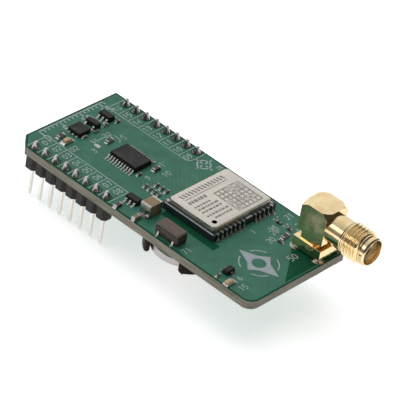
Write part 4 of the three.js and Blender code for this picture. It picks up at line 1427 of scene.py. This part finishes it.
def coin_cell():
    """The can with its rolled edge, the dark seal, which is partly painted shadow under the board's edge,
    and the smaller cap that the spring presses on.
    """
    base, top, r = CELL_LOW.z, CELL_HIGH.z, CELL_R
    place = upright(CELL_X, CELL_Y)
    steel = {"finishes": [cell_metal], "slot": "cell_steel", "body": CELL_BODY}
    can = [(0, base + 0.03), (r - 1.1, base + 0.03), (r - 1.0, base), (r - 0.32, base)]
    for step in range(6):
        turn = math.radians(90 * step / 5)
        can.append((r - 0.3 + 0.3 * math.sin(turn), base + 0.3 - 0.3 * math.cos(turn)))
    can += [(r, top - 0.6), (r - 0.05, top - 0.46), (r - 0.18, top - 0.38)]
    can += [(r - 0.55, top - 0.36), (0, top - 0.36)]
    made("coin_cell_can", Shape().lathe(can, place, 128), crisp=50, stands_for=["coin_cell"], **steel)
    # The seal reaches out close to the can's rim and the cap stays small, so the dark band also stands for
    # the shadow under the board's edge: partly painted shadow.
    seal = [(0, top - 0.37), (r - 0.25, top - 0.37), (r - 0.3, top - 0.2), (r - 0.5, top - 0.14)]
    seal.append((0, top - 0.14))
    made("coin_cell_seal_and_shadow", Shape().lathe(seal, place, 96), [gasket_and_gap_shadow], "moulding_black", body=CELL_BODY)
    cap = [(0, top - 0.3), (r - 0.95, top - 0.3), (r - 0.97, top - 0.1), (r - 1.02, top - 0.03)]
    cap += [(r - 1.1, top), (r - 1.4, top), (r - 1.5, top - 0.02), (0, top - 0.02)]
    made("coin_cell_cap", Shape().lathe(cap, place, 96), **steel)
    plus = Shape().block(CELL_X, CELL_Y, 2.6, 0.42, base, base + 0.08)
    for dy in (-0.81, 0.81):
        plus.block(CELL_X, CELL_Y + dy, 0.42, 0.98, base, base + 0.08)
    made("coin_cell_plus", plus, **steel)


def show_cell_contacts():
    for node in ("cell_spring", "cell_clip"):
        show_cad_node(node, spring_metal)
    feet = Shape()
    clip_low, clip_high = node_box("cell_clip")
    feet.block((clip_low.x + clip_high.x) / 2, clip_high.y - 0.4, 3.0, 1.8, -PAD, 0, 0)
    made("cell_clip_pad", feet, [bare_pad], "pin_tin", bevel=0.02)


cell_holder()
coin_cell()
show_cell_contacts()


# ------------------------------------------------------------------------ floor, light, camera
def floor():
    """A plain pale surface under the pin tips."""
    half, z = 3000.0, CAD_BOX[0].z / MM - 0.1
    corners = [(-half, -half, z), (half, -half, z), (half, half, z), (-half, half, z)]
    piece = mesh_object("floor", Shape().add(corners, [(0, 1, 2, 3)]))
    finish = Finish("pale_floor", (0.9, 0.9, 0.9), 0.7)
    finish.shader.inputs["Emission Color"].default_value = (1, 1, 1, 1)
    finish.shader.inputs["Emission Strength"].default_value = 0.6
    finish.paint(finish.noise(300), [(0.3, (0.89, 0.89, 0.89)), (0.7, (0.91, 0.91, 0.91))])
    piece.data.materials.append(finish.material)


def area_light(name, place, size, watts):
    light = bpy.data.lights.new(name, "AREA")
    light.shape = "RECTANGLE"
    light.size, light.size_y = size
    light.energy = watts
    lamp = bpy.data.objects.new(name, light)
    lamp.location = place
    lamp.rotation_euler = (-Vector(place)).to_track_quat("-Z", "Y").to_euler()
    bpy.context.scene.collection.objects.link(lamp)
    return lamp


def studio():
    """A light tent, bright at the pin end's side and dim at the jack's, so that metal has contrast."""
    world = bpy.data.worlds.new("studio")
    bpy.context.scene.world = world
    world.use_nodes = True
    tree = world.node_tree
    place = tree.nodes.new("ShaderNodeTexCoord")
    toward = tree.nodes.new("ShaderNodeVectorMath")
    toward.operation = "DOT_PRODUCT"
    toward.inputs[1].default_value = Vector((-0.9, 0.3, 0.3)).normalized()
    tree.links.new(place.outputs["Generated"], toward.inputs[0])
    ramp = tree.nodes.new("ShaderNodeValToRGB")
    tree.links.new(toward.outputs["Value"], ramp.inputs["Fac"])
    stops = ((0.0, 0.05), (0.25, 0.3), (0.5, 0.5), (0.64, 0.7), (0.79, 0.95))
    elements = ramp.color_ramp.elements
    while len(elements) < len(stops):
        elements.new(0.5)
    for element, (nearness, shade) in zip(elements, stops):
        element.position = nearness
        element.color = (shade, shade, shade, 1)
    tree.links.new(ramp.outputs["Color"], tree.nodes["Background"].inputs["Color"])
    # A wide light that only shows as light on matt faces, and a small one that metal mirrors.
    overhead = area_light("overhead", (-0.1, 0.05, 0.8), (0.9, 0.9), 2.9)
    overhead.visible_glossy = False
    area_light("front_left", (-0.335, -0.45, 0.42), (0.3, 0.25), 0.34)


CAMERA = {"distance": 0.50972, "azimuth": 37.33, "elevation": 35.9, "roll": 10.37, "lens": 263.26}
AIM = Vector((0.0032, 0.0016, TOP * MM))


def camera():
    data = bpy.data.cameras.new("camera")
    data.lens = CAMERA["lens"]
    data.sensor_width = 36
    data.clip_start, data.clip_end = 0.05, 10
    thing = bpy.data.objects.new("camera", data)
    turn, rise = math.radians(CAMERA["azimuth"]), math.radians(CAMERA["elevation"])
    back = Vector((math.sin(turn) * math.cos(rise), -math.cos(turn) * math.cos(rise), math.sin(rise)))
    thing.location = AIM + back * CAMERA["distance"]
    thing.rotation_mode = "QUATERNION"
    spin = Quaternion((0, 0, 1), math.radians(CAMERA["roll"]))
    thing.rotation_quaternion = (-back).to_track_quat("-Z", "Y") @ spin
    bpy.context.scene.collection.objects.link(thing)
    bpy.context.scene.camera = thing


floor()
studio()
camera()
bpy.context.scene.view_settings.view_transform = "Standard"
